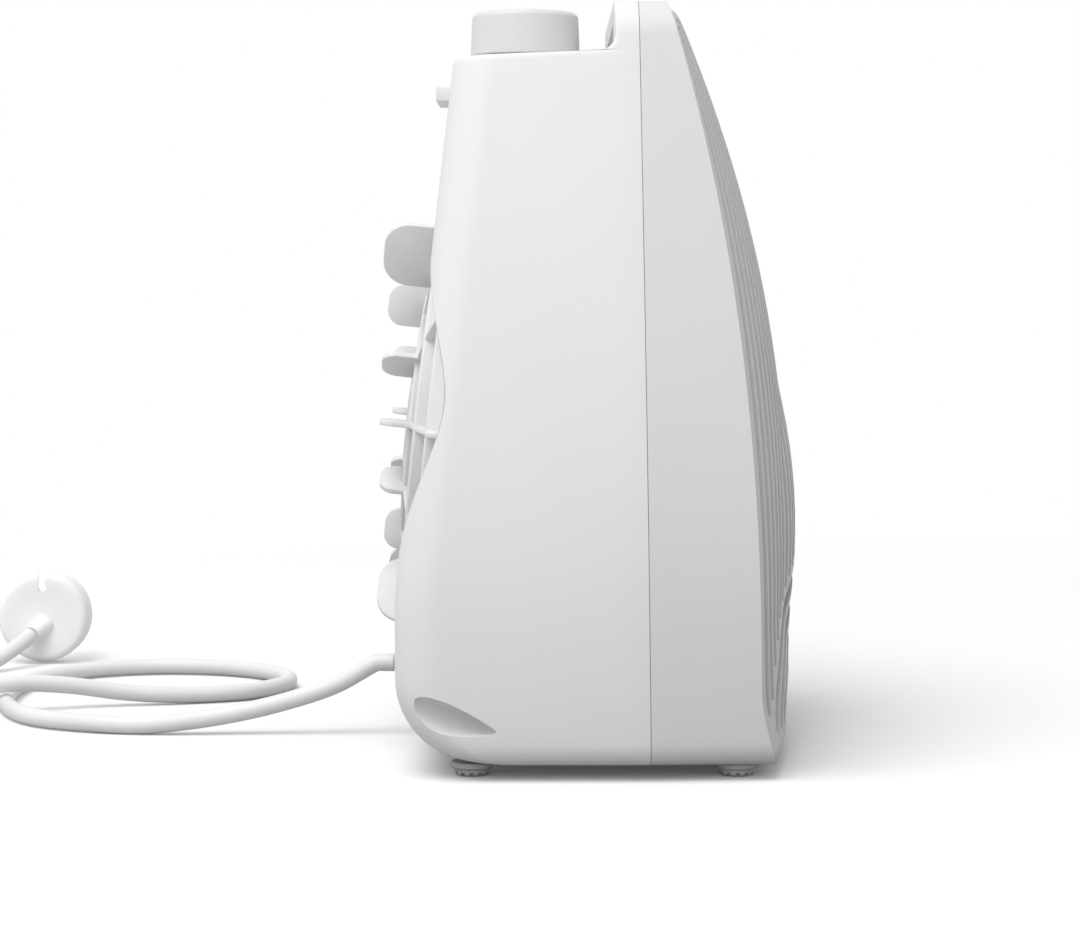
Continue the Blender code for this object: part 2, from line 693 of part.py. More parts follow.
def front_grille(material):
    """Crowned outlet panel: upright ribs over arched ones, with cross bars behind."""
    inset = WALL + GAP
    top = HANDLE_HEIGHT - inset
    panel = loft("front_grille", panel_sections(frame_heights(inset, FRAME_STEPS), inset, 0.0, PANEL_THICKNESS, 6))
    slots = bmesh.new()
    for outline in vertical_slots() + arch_slots():
        face = slots.faces.new([slots.verts.new((x, -0.13, z)) for x, z in outline])
        moved = bmesh.ops.extrude_face_region(slots, geom=[face])["geom"]
        verts = [item for item in moved if isinstance(item, bmesh.types.BMVert)]
        bmesh.ops.translate(slots, vec=(0, 0.13, 0), verts=verts)
    cut(panel, mesh_object("slots", slots))
    solids = []
    crest = ARCH_CENTRE_HEIGHT + ARCH_RADIUS
    overlap = 0.6 * MM
    behind = PANEL_THICKNESS - overlap
    for i in range(BAR_COUNT):
        z = crest + (i + 0.4) * (top - crest) / BAR_COUNT
        levels = [z - BAR_HEIGHT / 2, z + BAR_HEIGHT / 2]
        narrow = WALL + SEAT_WIDTH + 2 * GAP
        solids.append(loft("bar", panel_sections(levels, narrow, behind, BAR_DEPTH + overlap, 6)))
    heights = frame_heights(inset, FRAME_STEPS)
    solids.append(edge_wall("floor", heights[0] + 0.1 * MM, heights[0] + PANEL_EDGE))
    solids.append(edge_wall("roof", heights[-1] - PANEL_EDGE, heights[-1] - 0.1 * MM))
    fuse(panel, *solids)
    return dress(panel, "front_grille", material)


def dome_rise(radius):
    """Height of the inlet grille's domed face over the back's surface."""
    return HUB_RISE - (HUB_RISE + RIM_SINK) * (radius / RIM_RADIUS) ** DOME_BEND


def radial_plate(name, outline, width, angle, place):
    """A flat plate standing on a radius: outline in (radius, height), turned to an angle."""
    bm = bmesh.new()
    face = bm.faces.new([bm.verts.new((radius, -width / 2, height)) for radius, height in outline])
    moved = bmesh.ops.extrude_face_region(bm, geom=[face])["geom"]
    verts = [item for item in moved if isinstance(item, bmesh.types.BMVert)]
    bmesh.ops.translate(bm, vec=(0, width, 0), verts=verts)
    bmesh.ops.transform(bm, matrix=place @ Matrix.Rotation(math.radians(angle), 4, "Z"), verts=bm.verts)
    return mesh_object(name, bm)


def spacer_outline(inner, outer, angle):
    """A spacer's half-round tongue, its tip on one upright plane behind the heater."""
    lean = math.sin(REAR_TILT) * (inner + outer) / 2 * math.sin(math.radians(angle))
    tip = (SPACER_PLANE - rear_wall(INLET_HEIGHT) - lean) / math.cos(REAR_TILT)
    radius = (outer - inner) / 2 - 0.6 * MM
    foot = dome_rise(outer) - RING_DEPTH / 2
    outline = [(inner, foot), (outer, foot)]
    outline += arc((outer - radius, tip - radius), radius, 0, 90, 3)
    outline += arc((inner + radius, tip - radius), radius, 90, 180, 3)
    return outline


def grille_ring(radius, place):
    """One ring of the inlet grille, its outer edge following the dome."""
    top = dome_rise(radius)
    low, high = radius - RING_WALL / 2, radius + RING_WALL / 2
    profile = [(low, top - RING_DEPTH), (high, top - RING_DEPTH), (high, top - 0.3 * MM), (low, top)]
    return turned("ring", profile, 20 if radius > 40 * MM else 16, place)


def inlet_grille(material):
    """Round domed grille: rings, spokes and the upright spacers that keep a wall away."""
    place = inlet_place()
    floor = -INLET_SINK + GAP
    lip, sink = floor + 2.2 * MM, -RIM_SINK
    reach = INLET_RADIUS - GAP
    inner = RIM_RADIUS - RING_WALL
    rim = [(inner, floor), (reach, floor), (reach, lip), (RIM_RADIUS, lip), (RIM_RADIUS, sink), (inner, sink)]
    grille = turned("inlet_grille", rim, 32, place)
    pieces = [grille_ring(radius, place) for radius in RING_RADII]
    hub = [(0, -MM), (HUB_RADIUS, -MM), (HUB_RADIUS, HUB_RISE - MM)]
    hub += [(HUB_RADIUS - MM, HUB_RISE), (0, HUB_RISE)]
    pieces.append(turned("hub", hub, 14, place))
    stations = [0.5 * HUB_RADIUS, 46 * MM, RIM_RADIUS - RING_WALL / 2]
    drop = 0.5 * MM
    for i in range(SPOKE_COUNT):
        angle = 360 * i / SPOKE_COUNT
        outline = [(r, dome_rise(r) - drop) for r in stations]
        outline += [(reach - 0.8 * MM, sink - drop), (reach - 0.8 * MM, lip - drop)]
        outline += [(r, dome_rise(r) - drop - SPOKE_DEPTH) for r in reversed(stations)]
        pieces.append(radial_plate("spoke", outline, SPOKE_WIDTH, angle, place))
        span = OUTER_SPACER if i % 6 in (2, 4) else INNER_SPACER
        pieces.append(radial_plate("spacer", spacer_outline(*span, angle), SPACER_WIDTH, angle, place))
    fuse(grille, *pieces)
    cut(grille, cord_pad("pad", GAP))
    return dress(grille, "inlet_grille", material)


def foot(name, x, y, material):
    """Round foot with a notched rim and a pin up into the casing."""
    place = Matrix.Translation((x, y, 0))
    top = FOOT_HEIGHT - GAP
    pin = FOOT_HEIGHT + WALL
    profile = [(0, 0), (FOOT_RADIUS - 0.5 * MM, 0), (FOOT_RADIUS, 0.5 * MM), (FOOT_RADIUS, 2.6 * MM)]
    profile += [(FOOT_RADIUS - 1.2 * MM, top), (FOOT_PIN_RADIUS, top), (FOOT_PIN_RADIUS, pin), (0, pin)]
    pad = turned(name, profile, 12, place)
    notches = []
    for i in range(4):
        half = FOOT_NOTCH / 2
        notch = block("notch", (FOOT_RADIUS - 1.8 * MM, -half, -MM), (FOOT_RADIUS + MM, half, 1.4 * MM))
        notch.data.transform(place @ Matrix.Rotation(math.radians(90 * i + 15), 4, "Z"))
        notches.append(notch)
    cut(pad, *notches)
    return dress(pad, name, material)


def deck_height(y):
    """Z of the sloping deck at a depth behind the handle."""
    return DECK_HEIGHT - math.tan(DECK_SLOPE) * (y + HANDLE_REAR)


def knob(name, x, material):
    """Control knob: a cap with a rounded top edge and a socket for its spindle."""
    base = deck_height(KNOB_Y - KNOB_RADIUS) + KNOB_CLEARANCE
    ceiling = KNOB_TOP - KNOB_WALL
    bore = SPINDLE_RADIUS + GAP
    top = arc((KNOB_RADIUS - 0.4 * MM - KNOB_ROUND, KNOB_TOP - KNOB_ROUND), KNOB_ROUND, 0, 90, 2)
    profile = [(0, ceiling - 1.5 * MM), (bore, ceiling - 1.5 * MM), (bore, base), (bore + 2.4 * MM, base)]
    inside = KNOB_RADIUS - KNOB_WALL
    profile += [(bore + 2.4 * MM, ceiling), (inside, ceiling), (inside, base)]
    profile += [(KNOB_RADIUS, base)] + top + [(0, KNOB_TOP)]
    cap = turned(name, profile, 20)
    dress(cap, name, material)
    cap.location = (x, KNOB_Y, 0)
    return cap


def spindle(name, x, material):
    """Steel spindle from the switch up into the knob."""
    top = KNOB_TOP - KNOB_WALL - 1.5 * MM - GAP
    low = deck_height(KNOB_Y) - SPINDLE_DROP
    bar = rod(name, SPINDLE_RADIUS, low, top, 16)
    dress(bar, name, material)
    bar.location = (x, KNOB_Y, 0)
    return bar


def control_plate(material):
    """Sheet under the deck that carries the two switches."""
    low = (-PLATE_HALF_LENGTH, PLATE_FRONT, PLATE_HEIGHT - PLATE_THICKNESS)
    plate = block("control_plate", low, (PLATE_HALF_LENGTH, PLATE_REAR, PLATE_HEIGHT))
    holes = []
    for side in (-1, 1):
        centre = Matrix.Translation((side * KNOB_X, KNOB_Y, 0))
        holes.append(rod("hole", COLLAR_RADIUS + GAP, 0.2, 0.3, 14, centre))
        centre = Matrix.Translation((side * POST_X, KNOB_Y, 0))
        holes.append(rod("hole", SCREW_RADIUS + GAP, 0.2, 0.3, 8, centre))
    cut(plate, *holes)
    return dress(plate, "control_plate", material)


def switch_body(name, x, round_body, material):
    """A switch under the plate, with a collar up through it that guides the spindle."""
    under = PLATE_HEIGHT - PLATE_THICKNESS - GAP
    low = under - SWITCH_DEPTH
    centre = Matrix.Translation((x, KNOB_Y, 0))
    if round_body:
        body = rod(name, SWITCH_HALF, low, under, 18, centre)
    else:
        outline = rounded_rectangle((x, KNOB_Y), (SWITCH_HALF, SWITCH_HALF), 2 * MM, 2)
        body = outline_prism(name, outline, low, under, "Z")
    solids = [rod("collar", COLLAR_RADIUS, under - 2 * MM, PLATE_HEIGHT + 3 * MM, 14, centre)]
    for i in (-1, 0, 1):
        tag_x, tag_y = x + i * 6.5 * MM, KNOB_Y + 6 * MM
        corner = (tag_x + 2 * MM, tag_y + 0.8 * MM, low + MM)
        solids.append(block("tag", (tag_x - 2 * MM, tag_y, low - 6.5 * MM), corner))
    fuse(body, *solids)
    bottom = deck_height(KNOB_Y) - SPINDLE_DROP - GAP
    cut(body, rod("bore", SPINDLE_RADIUS + GAP, bottom, PLATE_HEIGHT + 10 * MM, 12, centre))
    return dress(body, name, material)


def along_y(x=0.0, z=FAN_HEIGHT):
    """Frame whose Z runs along the object's +Y through a point."""
    return Matrix.Translation((x, 0, z)) @ Matrix.Rotation(math.radians(-90), 4, "X")


def duct_screw_places():
    """Where the duct's four screws stand."""
    places = []
    for angle in (50, 130, 230, 310):
        turn = math.radians(angle)
        places.append((DUCT_SCREW_RADIUS * math.cos(turn), FAN_HEIGHT + DUCT_SCREW_RADIUS * math.sin(turn)))
    return places


def air_duct(material):
    """Duct round the fan, with a flange at its back and a spider that holds the motor."""
    outer = DUCT_RADIUS + DUCT_WALL
    flange = DUCT_REAR - 2.4 * MM
    profile = [(DUCT_RADIUS, DUCT_FRONT), (outer, DUCT_FRONT), (outer, flange), (DUCT_FLANGE_RADIUS, flange)]
    profile += [(DUCT_FLANGE_RADIUS, DUCT_REAR), (DUCT_RADIUS, DUCT_REAR)]
    duct = turned("air_duct", profile, 24, along_y())
    front = DUCT_REAR - SPIDER_THICKNESS
    solids = [rod("hub", SPIDER_HUB_RADIUS, front, DUCT_REAR, 18, along_y())]
    half = SPIDER_ARM / 2
    for i in range(4):
        low = (0.6 * SPIDER_HUB_RADIUS, front + 0.3 * MM, -half)
        arm = block("arm", low, (DUCT_RADIUS + MM, DUCT_REAR - 0.3 * MM, half))
        turn = Matrix.Rotation(math.radians(45 + 90 * i), 4, "Y")
        arm.data.transform(Matrix.Translation((0, 0, FAN_HEIGHT)) @ turn)
        solids.append(arm)
    fuse(duct, *solids)
    holes = [rod("hole", BEARING_RADIUS + 2 * MM, front - MM, DUCT_REAR + MM, 14, along_y())]
    for x, z in duct_screw_places() + [(-MOTOR_SCREW_X, FAN_HEIGHT), (MOTOR_SCREW_X, FAN_HEIGHT)]:
        holes.append(rod("hole", SCREW_RADIUS + GAP, front - MM, DUCT_REAR + MM, 8, along_y(x, z)))
    cut(duct, *holes)
    return dress(duct, "air_duct", material)


def fan_blade():
    """One twisted blade, its root inside the hub, as a loft of thin sections."""
    middle = (FAN_FRONT + FAN_REAR) / 2
    outline = ((-0.5, -0.5), (0, -0.9), (0.5, -0.5), (0.5, 0.5), (0, 0.3), (-0.5, 0.5))
    root = FAN_HUB_RADIUS - 1.2 * MM
    sections = []
    for share in (0.0, 0.45, 1.0):
        radius = root + (FAN_RADIUS - root) * share
        pitch = BLADE_PITCH_HUB + (BLADE_PITCH_TIP - BLADE_PITCH_HUB) * share
        chord = BLADE_CHORD_HUB + (BLADE_CHORD_TIP - BLADE_CHORD_HUB) * share
        section = []
        for along, across in outline:
            s, t = along * chord, across * BLADE_THICKNESS
            angle = (s * math.cos(pitch) - t * math.sin(pitch)) / radius + math.radians(14) * share
            height = middle + s * math.sin(pitch) + t * math.cos(pitch)
            section.append((radius * math.cos(angle), radius * math.sin(angle), height))
        sections.append(section)
    return loft("blade", sections)


def fan_impeller(material):
    """Five-bladed fan on a hub with a socket for the shaft."""
    bore = SHAFT_RADIUS + GAP
    profile = [(bore, FAN_FRONT), (FAN_HUB_RADIUS - 3 * MM, FAN_FRONT), (FAN_HUB_RADIUS, FAN_FRONT + 3 * MM)]
    profile += [(FAN_HUB_RADIUS, FAN_REAR), (FAN_HUB_RADIUS - 2 * MM, FAN_REAR)]
    profile += [(FAN_HUB_RADIUS - 2 * MM, FAN_FRONT + 5 * MM), (bore + 2.4 * MM, FAN_FRONT + 5 * MM)]
    profile += [(bore + 2.4 * MM, FAN_REAR - 2 * MM), (bore, FAN_REAR - 2 * MM)]
    fan = turned("fan_impeller", profile, 20)
    blades = []
    for i in range(BLADE_COUNT):
        blade = fan_blade()
        blade.data.transform(Matrix.Rotation(math.tau * i / BLADE_COUNT, 4, "Z"))
        blades.append(blade)
    fuse(fan, *blades)
    fan.data.transform(Matrix.Rotation(math.radians(-90), 4, "X"))
    dress(fan, "fan_impeller", material)
    fan.location = (0, 0, FAN_HEIGHT)
    return fan


def fan_retainer(material):
    """Push-on clip ahead of the fan's hub."""
    bore = SHAFT_RADIUS + GAP
    front = FAN_FRONT - GAP
    outer = bore + 2.6 * MM
    profile = [(bore, front - 1.2 * MM), (outer, front - 0.6 * MM), (outer, front), (bore, front)]
    return dress(turned("fan_retainer", profile, 16, along_y()), "fan_retainer", material)


def motor_shaft(material):
    """Shaft from behind the rear bearing through the fan."""
    rear = CORE_REAR + GAP + BRIDGE_THICKNESS + 2.5 * MM
    shaft = rod("motor_shaft", SHAFT_RADIUS, FAN_FRONT - 3 * MM, rear, 14, along_y())
    return dress(shaft, "motor_shaft", material)


def motor_rotor(material):
    """Squirrel-cage rotor between the bearings."""
    bore = SHAFT_RADIUS + GAP
    low, high = CORE_FRONT + 2.2 * MM, CORE_REAR - 2.2 * MM
    profile = [(bore, low), (ROTOR_RADIUS, low), (ROTOR_RADIUS, high), (bore, high)]
    return dress(turned("motor_rotor", profile, 18, along_y()), "motor_rotor", material)


def motor_core(material):
    """Laminated stator: a pole frame over the leg that carries the coil."""
    bottom = FAN_HEIGHT - CORE_BOTTOM
    low = (-CORE_HALF_WIDTH, CORE_FRONT, bottom)
    core = block("motor_core", low, (CORE_HALF_WIDTH, CORE_REAR, FAN_HEIGHT + CORE_TOP))
    window = CORE_HALF_WIDTH - CORE_LIMB
    hole = block("window", (-window, 0, bottom + CORE_LEG), (window, 0.05, FAN_HEIGHT - CORE_TOP))
    bore = rod("bore", ROTOR_RADIUS + ROTOR_GAP, 0, 0.05, 20, along_y())
    holes = [rod("hole", SCREW_RADIUS + GAP, 0, 0.05, 10, along_y(side * MOTOR_SCREW_X)) for side in (-1, 1)]
    cut(core, hole, bore, *holes)
    return dress(core, "motor_core", material)


def motor_coil(material):
    """Coil round the stator's lower leg."""
    middle = FAN_HEIGHT - CORE_BOTTOM + CORE_LEG / 2
    half_length = CORE_HALF_WIDTH - CORE_LIMB - GAP
    inner = (CORE_REAR - CORE_FRONT) / 2 + GAP, CORE_LEG / 2 + GAP
    centre = ((CORE_FRONT + CORE_REAR) / 2, middle)
    outer = (inner[0] + COIL_THICKNESS, inner[1] + COIL_THICKNESS)
    sections = []
    for x in (-half_length, half_length):
        sections.append([(x, y, z) for y, z in rounded_rectangle(centre, outer, 3 * MM, 3)])
    coil = loft("motor_coil", sections)
    low = (-0.05, centre[0] - inner[0], middle - inner[1])
    cut(coil, block("leg", low, (0.05, centre[0] + inner[0], middle + inner[1])))
    return dress(coil, "motor_coil", material)


def motor_bridge(name, low, material):
    """Strap across the stator that holds a bearing."""
    half = CORE_HALF_WIDTH - 1.0 * MM
    outline = rounded_rectangle((0, FAN_HEIGHT), (half, BRIDGE_HALF_HEIGHT), 3 * MM, 2)
    strap = outline_prism(name, outline, low, low + BRIDGE_THICKNESS)
    holes = [rod("hole", BEARING_RADIUS + GAP, low - MM, low + BRIDGE_THICKNESS + MM, 14, along_y())]
    for side in (-1, 1):
        place = along_y(side * MOTOR_SCREW_X)
        holes.append(rod("hole", SCREW_RADIUS + GAP, low - MM, low + BRIDGE_THICKNESS + MM, 8, place))
    cut(strap, *holes)
    return dress(strap, name, material)


def bearing(name, middle, material):
    """Sintered sleeve bearing."""
    bore = SHAFT_RADIUS + GAP
    low, high = middle - BEARING_LENGTH / 2, middle + BEARING_LENGTH / 2
    profile = [(bore, low), (BEARING_RADIUS - 0.8 * MM, low), (BEARING_RADIUS, low + 0.8 * MM)]
    profile += [(BEARING_RADIUS, high), (bore, high)]
    return dress(turned(name, profile, 14, along_y()), name, material)


def screw(name, x, z, head, tip, material, direction=1):
    """Pan-head screw along Y: its head ends at head, its point at tip."""
    place = along_y(x, z)
    neck = head - direction * SCREW_HEAD_HEIGHT
    profile = [(0, tip), (SCREW_RADIUS, tip + direction * MM), (SCREW_RADIUS, neck)]
    profile += [(SCREW_HEAD_RADIUS, neck)]
    profile += [(SCREW_HEAD_RADIUS, head - direction * 0.8 * MM), (SCREW_HEAD_RADIUS - MM, head), (0, head)]
    return dress(turned(name, profile, 6, place), name, material)


def heater_frame(material):
    """Steel ring ahead of the duct with two crossed mica plates."""
    rear = DUCT_FRONT - GAP
    front = rear - HEATER_DEPTH
    outer = DUCT_RADIUS + DUCT_WALL
    profile = [(DUCT_RADIUS - MM, front), (outer, front), (outer, rear), (DUCT_RADIUS - MM, rear)]
    ring = turned("heater_frame", profile, 24, along_y())
    plates = []
    for angle in (0, 90):
        half = MICA_THICKNESS / 2
        plate = block("plate", (-DUCT_RADIUS, rear - MICA_DEPTH, -half), (DUCT_RADIUS, rear, half))
        turn = Matrix.Rotation(math.radians(angle), 4, "Y")
        plate.data.transform(Matrix.Translation((0, 0, FAN_HEIGHT)) @ turn)
        plates.append(plate)
    fuse(ring, *plates)
    return dress(ring, "heater_frame", material)


def heating_ribbon(material):
    """Flat resistance strip wound as a spiral ahead of the mica plates."""
    rear = DUCT_FRONT - 2 * GAP - MICA_DEPTH
    steps = round(RIBBON_TURNS * 12)
    sections = []
    for i in range(steps + 1):
        angle = math.tau * RIBBON_TURNS * i / steps
        radius = RIBBON_INNER + (RIBBON_OUTER - RIBBON_INNER) * i / steps
        section = []
        for r, y in ((-0.5, 0), (0.5, 0), (0.5, -1), (-0.5, -1)):
            reach = radius + r * RIBBON_THICKNESS
            x, z = reach * math.cos(angle), FAN_HEIGHT + reach * math.sin(angle)
            section.append((x, rear + y * RIBBON_WIDTH, z))
        sections.append(section)
    return dress(loft("heating_ribbon", sections), "heating_ribbon", material)


def thermal_cutout(material):
    """Round safety cutout on the crossing of the mica plates."""
    rear = DUCT_FRONT - 2 * GAP - MICA_DEPTH
    profile = [(0, rear - CUTOUT_DEPTH), (CUTOUT_RADIUS - MM, rear - CUTOUT_DEPTH)]
    profile += [(CUTOUT_RADIUS, rear - CUTOUT_DEPTH + MM), (CUTOUT_RADIUS, rear), (0, rear)]
    return dress(turned("thermal_cutout", profile, 16, along_y()), "thermal_cutout", material)


def cord_bushing(material):
    """Tapered strain relief through the back wall, with a flange that stops it inside."""
    bore = CORD_DIAMETER / 2 + GAP
    shoulder = rear_wall(CORD_EXIT_HEIGHT) - INLET_SINK - WALL + 2 * MM
    flange = shoulder - 2 * MM
    profile = [(bore, BUSHING_INNER_Y), (BUSHING_TIP_RADIUS, BUSHING_INNER_Y), (BUSHING_RADIUS, flange)]
    profile += [(BUSHING_FLANGE_RADIUS, flange), (BUSHING_FLANGE_RADIUS, shoulder)]
    profile += [(BUSHING_RADIUS, shoulder), (BUSHING_RADIUS, rear_wall(CORD_EXIT_HEIGHT) + MM)]
    profile += [(BUSHING_TIP_RADIUS, CORD_EXIT_Y - 0.5 * MM)]
    profile += [(BUSHING_TIP_RADIUS - 0.4 * MM, CORD_EXIT_Y), (bore, CORD_EXIT_Y)]
    sleeve = turned("cord_bushing", profile, 12, along_y(0, CORD_EXIT_HEIGHT))
    return dress(sleeve, "cord_bushing", material)


def curve_point(a, b, c, d, t):
    """Point at t between b and c on the smooth curve through four points."""
    straight = 2 * b + (c - a) * t
    return 0.5 * (straight + (2 * a - 5 * b + 4 * c - d) * t**2 + (3 * b - a - 3 * c + d) * t**3)


def smooth_route(points, spacing):
    """Evenly spaced points on a smooth curve through the route, whose two end pieces stay straight."""
    knots = [Vector(point) for point in points]
    fine = []
    for a, b, c, d in zip(knots, knots[1:], knots[2:], knots[3:]):
        fine += [curve_point(a, b, c, d, i / 16) for i in range(16)]
    fine.append(knots[-2])
    length = route_length(fine)
    count = max(round(length / spacing), 2)
    step, travelled, route = length / count, 0.0, [fine[0]]
    for p, q in zip(fine, fine[1:]):
        span = (q - p).length
        while len(route) < count and travelled + span >= step * len(route):
            route.append(p.lerp(q, (step * len(route) - travelled) / span))
        travelled += span
    return [knots[0]] + route + [fine[-1], knots[-1]]


def tube(name, route, resolution, material):
    """A cord along a route, as a bevelled curve with filled ends."""
    curve = bpy.data.curves.new(name, "CURVE")
    curve.dimensions = "3D"
    curve.bevel_depth = CORD_DIAMETER / 2
    curve.bevel_resolution = resolution
    curve.use_fill_caps = True
    spline = curve.splines.new("POLY")
    spline.points.add(len(route) - 1)
    for point, place in zip(spline.points, route):
        point.co = (*place, 1.0)
    curve.materials.append(material)
    obj = bpy.data.objects.new(name, curve)
    bpy.context.scene.collection.objects.link(obj)
    return obj


def route_length(route):
    """Length along a route."""
    return sum((Vector(q) - Vector(p)).length for p, q in zip(route, route[1:]))


def coil_route():
    """The coil's turns: in on the floor, up a layer where the spiral reverses, and out again on top."""
    turns = 2 * COIL_LAYER_TURNS + 0.5
    turning = COIL_LAYER_TURNS + 0.25
    steps = round(turns * COIL_STEPS)
    route = [Vector((COIL_X - COIL_RADIUS, COIL_Y - CORD_DIAMETER, CORD_REST))]
    for i in range(steps + 1):
        turn = turns * i / steps
        drawn_in = turn if turn < turning else 2 * turning - turn
        climb = min(max((turn - COIL_LAYER_TURNS) / 0.5, 0.0), 1.0)
        angle = math.pi - math.tau * turn
        radius = COIL_RADIUS - COIL_PITCH * drawn_in
        height = CORD_REST + COIL_PITCH * climb
        route.append(Vector((COIL_X + radius * math.cos(angle), COIL_Y + radius * math.sin(angle), height)))
    end = route[-1]
    route.append(Vector((end.x, COIL_Y - CORD_DIAMETER, end.z)))
    return route


def least_gap(route):
    """Smallest clear distance between stretches of a tube that lie more than half a turn apart."""
    apart = COIL_STEPS // 2
    dense = []
    for a, b in zip(route, route[1:]):
        dense += [a.lerp(b, share / 4) for share in range(4)]
    least = 1.0
    for i, a in enumerate(dense):
        for b in dense[i + 4 * apart :]:
            least = min(least, (a - b).length)
    return least - CORD_DIAMETER


def plug_body(material):
    """Round plug standing on its rim, with a short cord sleeve leaving its back at a slant."""
    turn = Matrix.Rotation(math.radians(90), 4, "Y")
    place = Matrix.Translation((PLUG_X, PLUG_Y, PLUG_RADIUS)) @ turn
    low, high = -PLUG_LENGTH / 2, PLUG_LENGTH / 2
    edge = 2.0 * MM
    profile = [(0, low)] + arc((PLUG_RADIUS - edge, low + edge), edge, -90, 0, 3)
    profile += [(PLUG_RADIUS, high - MM), (PLUG_RADIUS - MM, high), (0, high)]
    body = turned("plug_body", profile, 24, place)
    sleeve = [(0, -PLUG_SLEEVE_LENGTH), (4.3 * MM, -PLUG_SLEEVE_LENGTH), (5.4 * MM, 3 * MM), (0, 3 * MM)]
    aim = Matrix.Translation(PLUG_ENTRY) @ PLUG_ENTRY_AIM.to_track_quat("Z", "Y").to_matrix().to_4x4()
    fuse(body, turned("sleeve", sleeve, 14, aim))
    notch = block("notch", (-0.1, -PLUG_NOTCH / 2, PLUG_RADIUS - 7.5 * MM), (0.1, PLUG_NOTCH / 2, 0.1))
    notch.data.transform(Matrix.Translation((PLUG_X, PLUG_Y, PLUG_RADIUS)))
    cut(body, notch)
    return dress(body, "plug_body", material)


def plug_pin(name, side, material):
    """Round contact pin with a domed tip."""
    start = PLUG_X + PLUG_LENGTH / 2 + GAP
    turn = Matrix.Rotation(math.radians(90), 4, "Y")
    place = Matrix.Translation((start, PLUG_Y + side * PLUG_PIN_SPACING / 2, PLUG_RADIUS)) @ turn
    tip = arc((0, PLUG_PIN_LENGTH - PLUG_PIN_RADIUS), PLUG_PIN_RADIUS, 0, 90, 3)[:-1]
    profile = [(0, 0), (PLUG_PIN_RADIUS, 0)] + tip + [(0, PLUG_PIN_LENGTH)]
    return dress(turned(name, profile, 14, place), name, material)


def case_screw_places():
    """Where the four case screws stand, just inside the rounded rear corners."""
    places = []
    for z in (SCREW_LOWER_HEIGHT, SCREW_UPPER_HEIGHT):
        x = half_width(z) - REAR_CORNER_RADIUS + 1.5 * MM
        places += [(-x, z), (x, z)]
    return places


def case_screw_fixings(shell):
    """Posts for the case screws, with the wells that their heads sit in."""
    posts, holes = [], []
    for x, z in case_screw_places():
        wall = rear_wall(z) - WALL
        place = along_y(x, z)
        posts.append(rod("post", BOSS_RADIUS, split_plane(z) + SHELL_GAP, wall + 0.4 * MM, 12, place))
        holes.append(rod("bore", SCREW_RADIUS + GAP, -0.1, wall - SCREW_WELL + MM, 8, place))
        holes.append(rod("well", SCREW_HEAD_RADIUS + GAP, wall - SCREW_WELL, 0.1, 12, place))
    fuse(shell, *posts)
    cut(shell, *holes)


def duct_fixings(shell):
    """Posts on the inlet's floor that the duct is screwed to."""
    posts, holes = [], []
    for x, z in duct_screw_places():
        floor = rear_wall(INLET_HEIGHT) + (INLET_HEIGHT - z) * math.tan(REAR_TILT) - INLET_SINK
        place = along_y(x, z)
        posts.append(rod("post", BOSS_RADIUS - 0.8 * MM, DUCT_REAR + GAP, floor - 0.9 * MM, 10, place))
        holes.append(rod("bore", SCREW_RADIUS + GAP, DUCT_REAR - MM, DUCT_REAR + 6.6 * MM, 8, place))
    fuse(shell, *posts)
    cut(shell, *holes)


def deck_fixings(shell):
    """Posts that hang the control plate from the deck, and the holes of the two spindles."""
    posts, holes = [], []
    for side in (-1, 1):
        place = Matrix.Translation((side * POST_X, KNOB_Y, 0))
        posts.append(rod("post", POST_RADIUS, PLATE_HEIGHT + GAP, deck_height(KNOB_Y) - WALL / 2, 10, place))
        holes.append(rod("bore", SCREW_RADIUS + GAP, PLATE_HEIGHT - MM, PLATE_HEIGHT + 7 * MM, 8, place))
        place = Matrix.Translation((side * KNOB_X, KNOB_Y, 0))
        holes.append(rod("hole", SPINDLE_HOLE_RADIUS, 0.23, 0.26, 16, place))
    fuse(shell, *posts)
    cut(shell, *holes)


def foot_fixings(shell, y, height):
    """Pads over two feet, with the holes for their pins."""
    pads, holes = [], []
    for side in (-1, 1):
        place = Matrix.Translation((side * FOOT_X, y, 0))
        low = FOOT_HEIGHT - 0.05 * MM
        pads.append(rod("pad", FOOT_RADIUS + 0.8 * MM, low, FOOT_HEIGHT + height, 12, place))
        holes.append(rod("hole", FOOT_PIN_RADIUS + GAP, 0, FOOT_HEIGHT + 6 * MM, 10, place))
    fuse(shell, *pads)
    cut(shell, *holes)


def front_screw_fixings(shell):
    """Short bosses that the case screws bite in, each on a web to the side wall."""
    solids, holes = [], []
    for x, z in case_screw_places():
        high = split_plane(z) - SHELL_GAP
        place = along_y(x, z)
        solids.append(rod("boss", BOSS_RADIUS, high - 9 * MM, high, 12, place))
        wall = math.copysign(half_width(z) - WALL / 2, x)
        low = (min(x, wall), high - 8.6 * MM, z - 1.2 * MM)
        solids.append(block("web", low, (max(x, wall), high - 0.3 * MM, z + 1.2 * MM)))
        holes.append(rod("bore", SCREW_RADIUS + GAP, high - 7.5 * MM, 0.0, 8, place))
    fuse(shell, *solids)
    cut(shell, *holes)


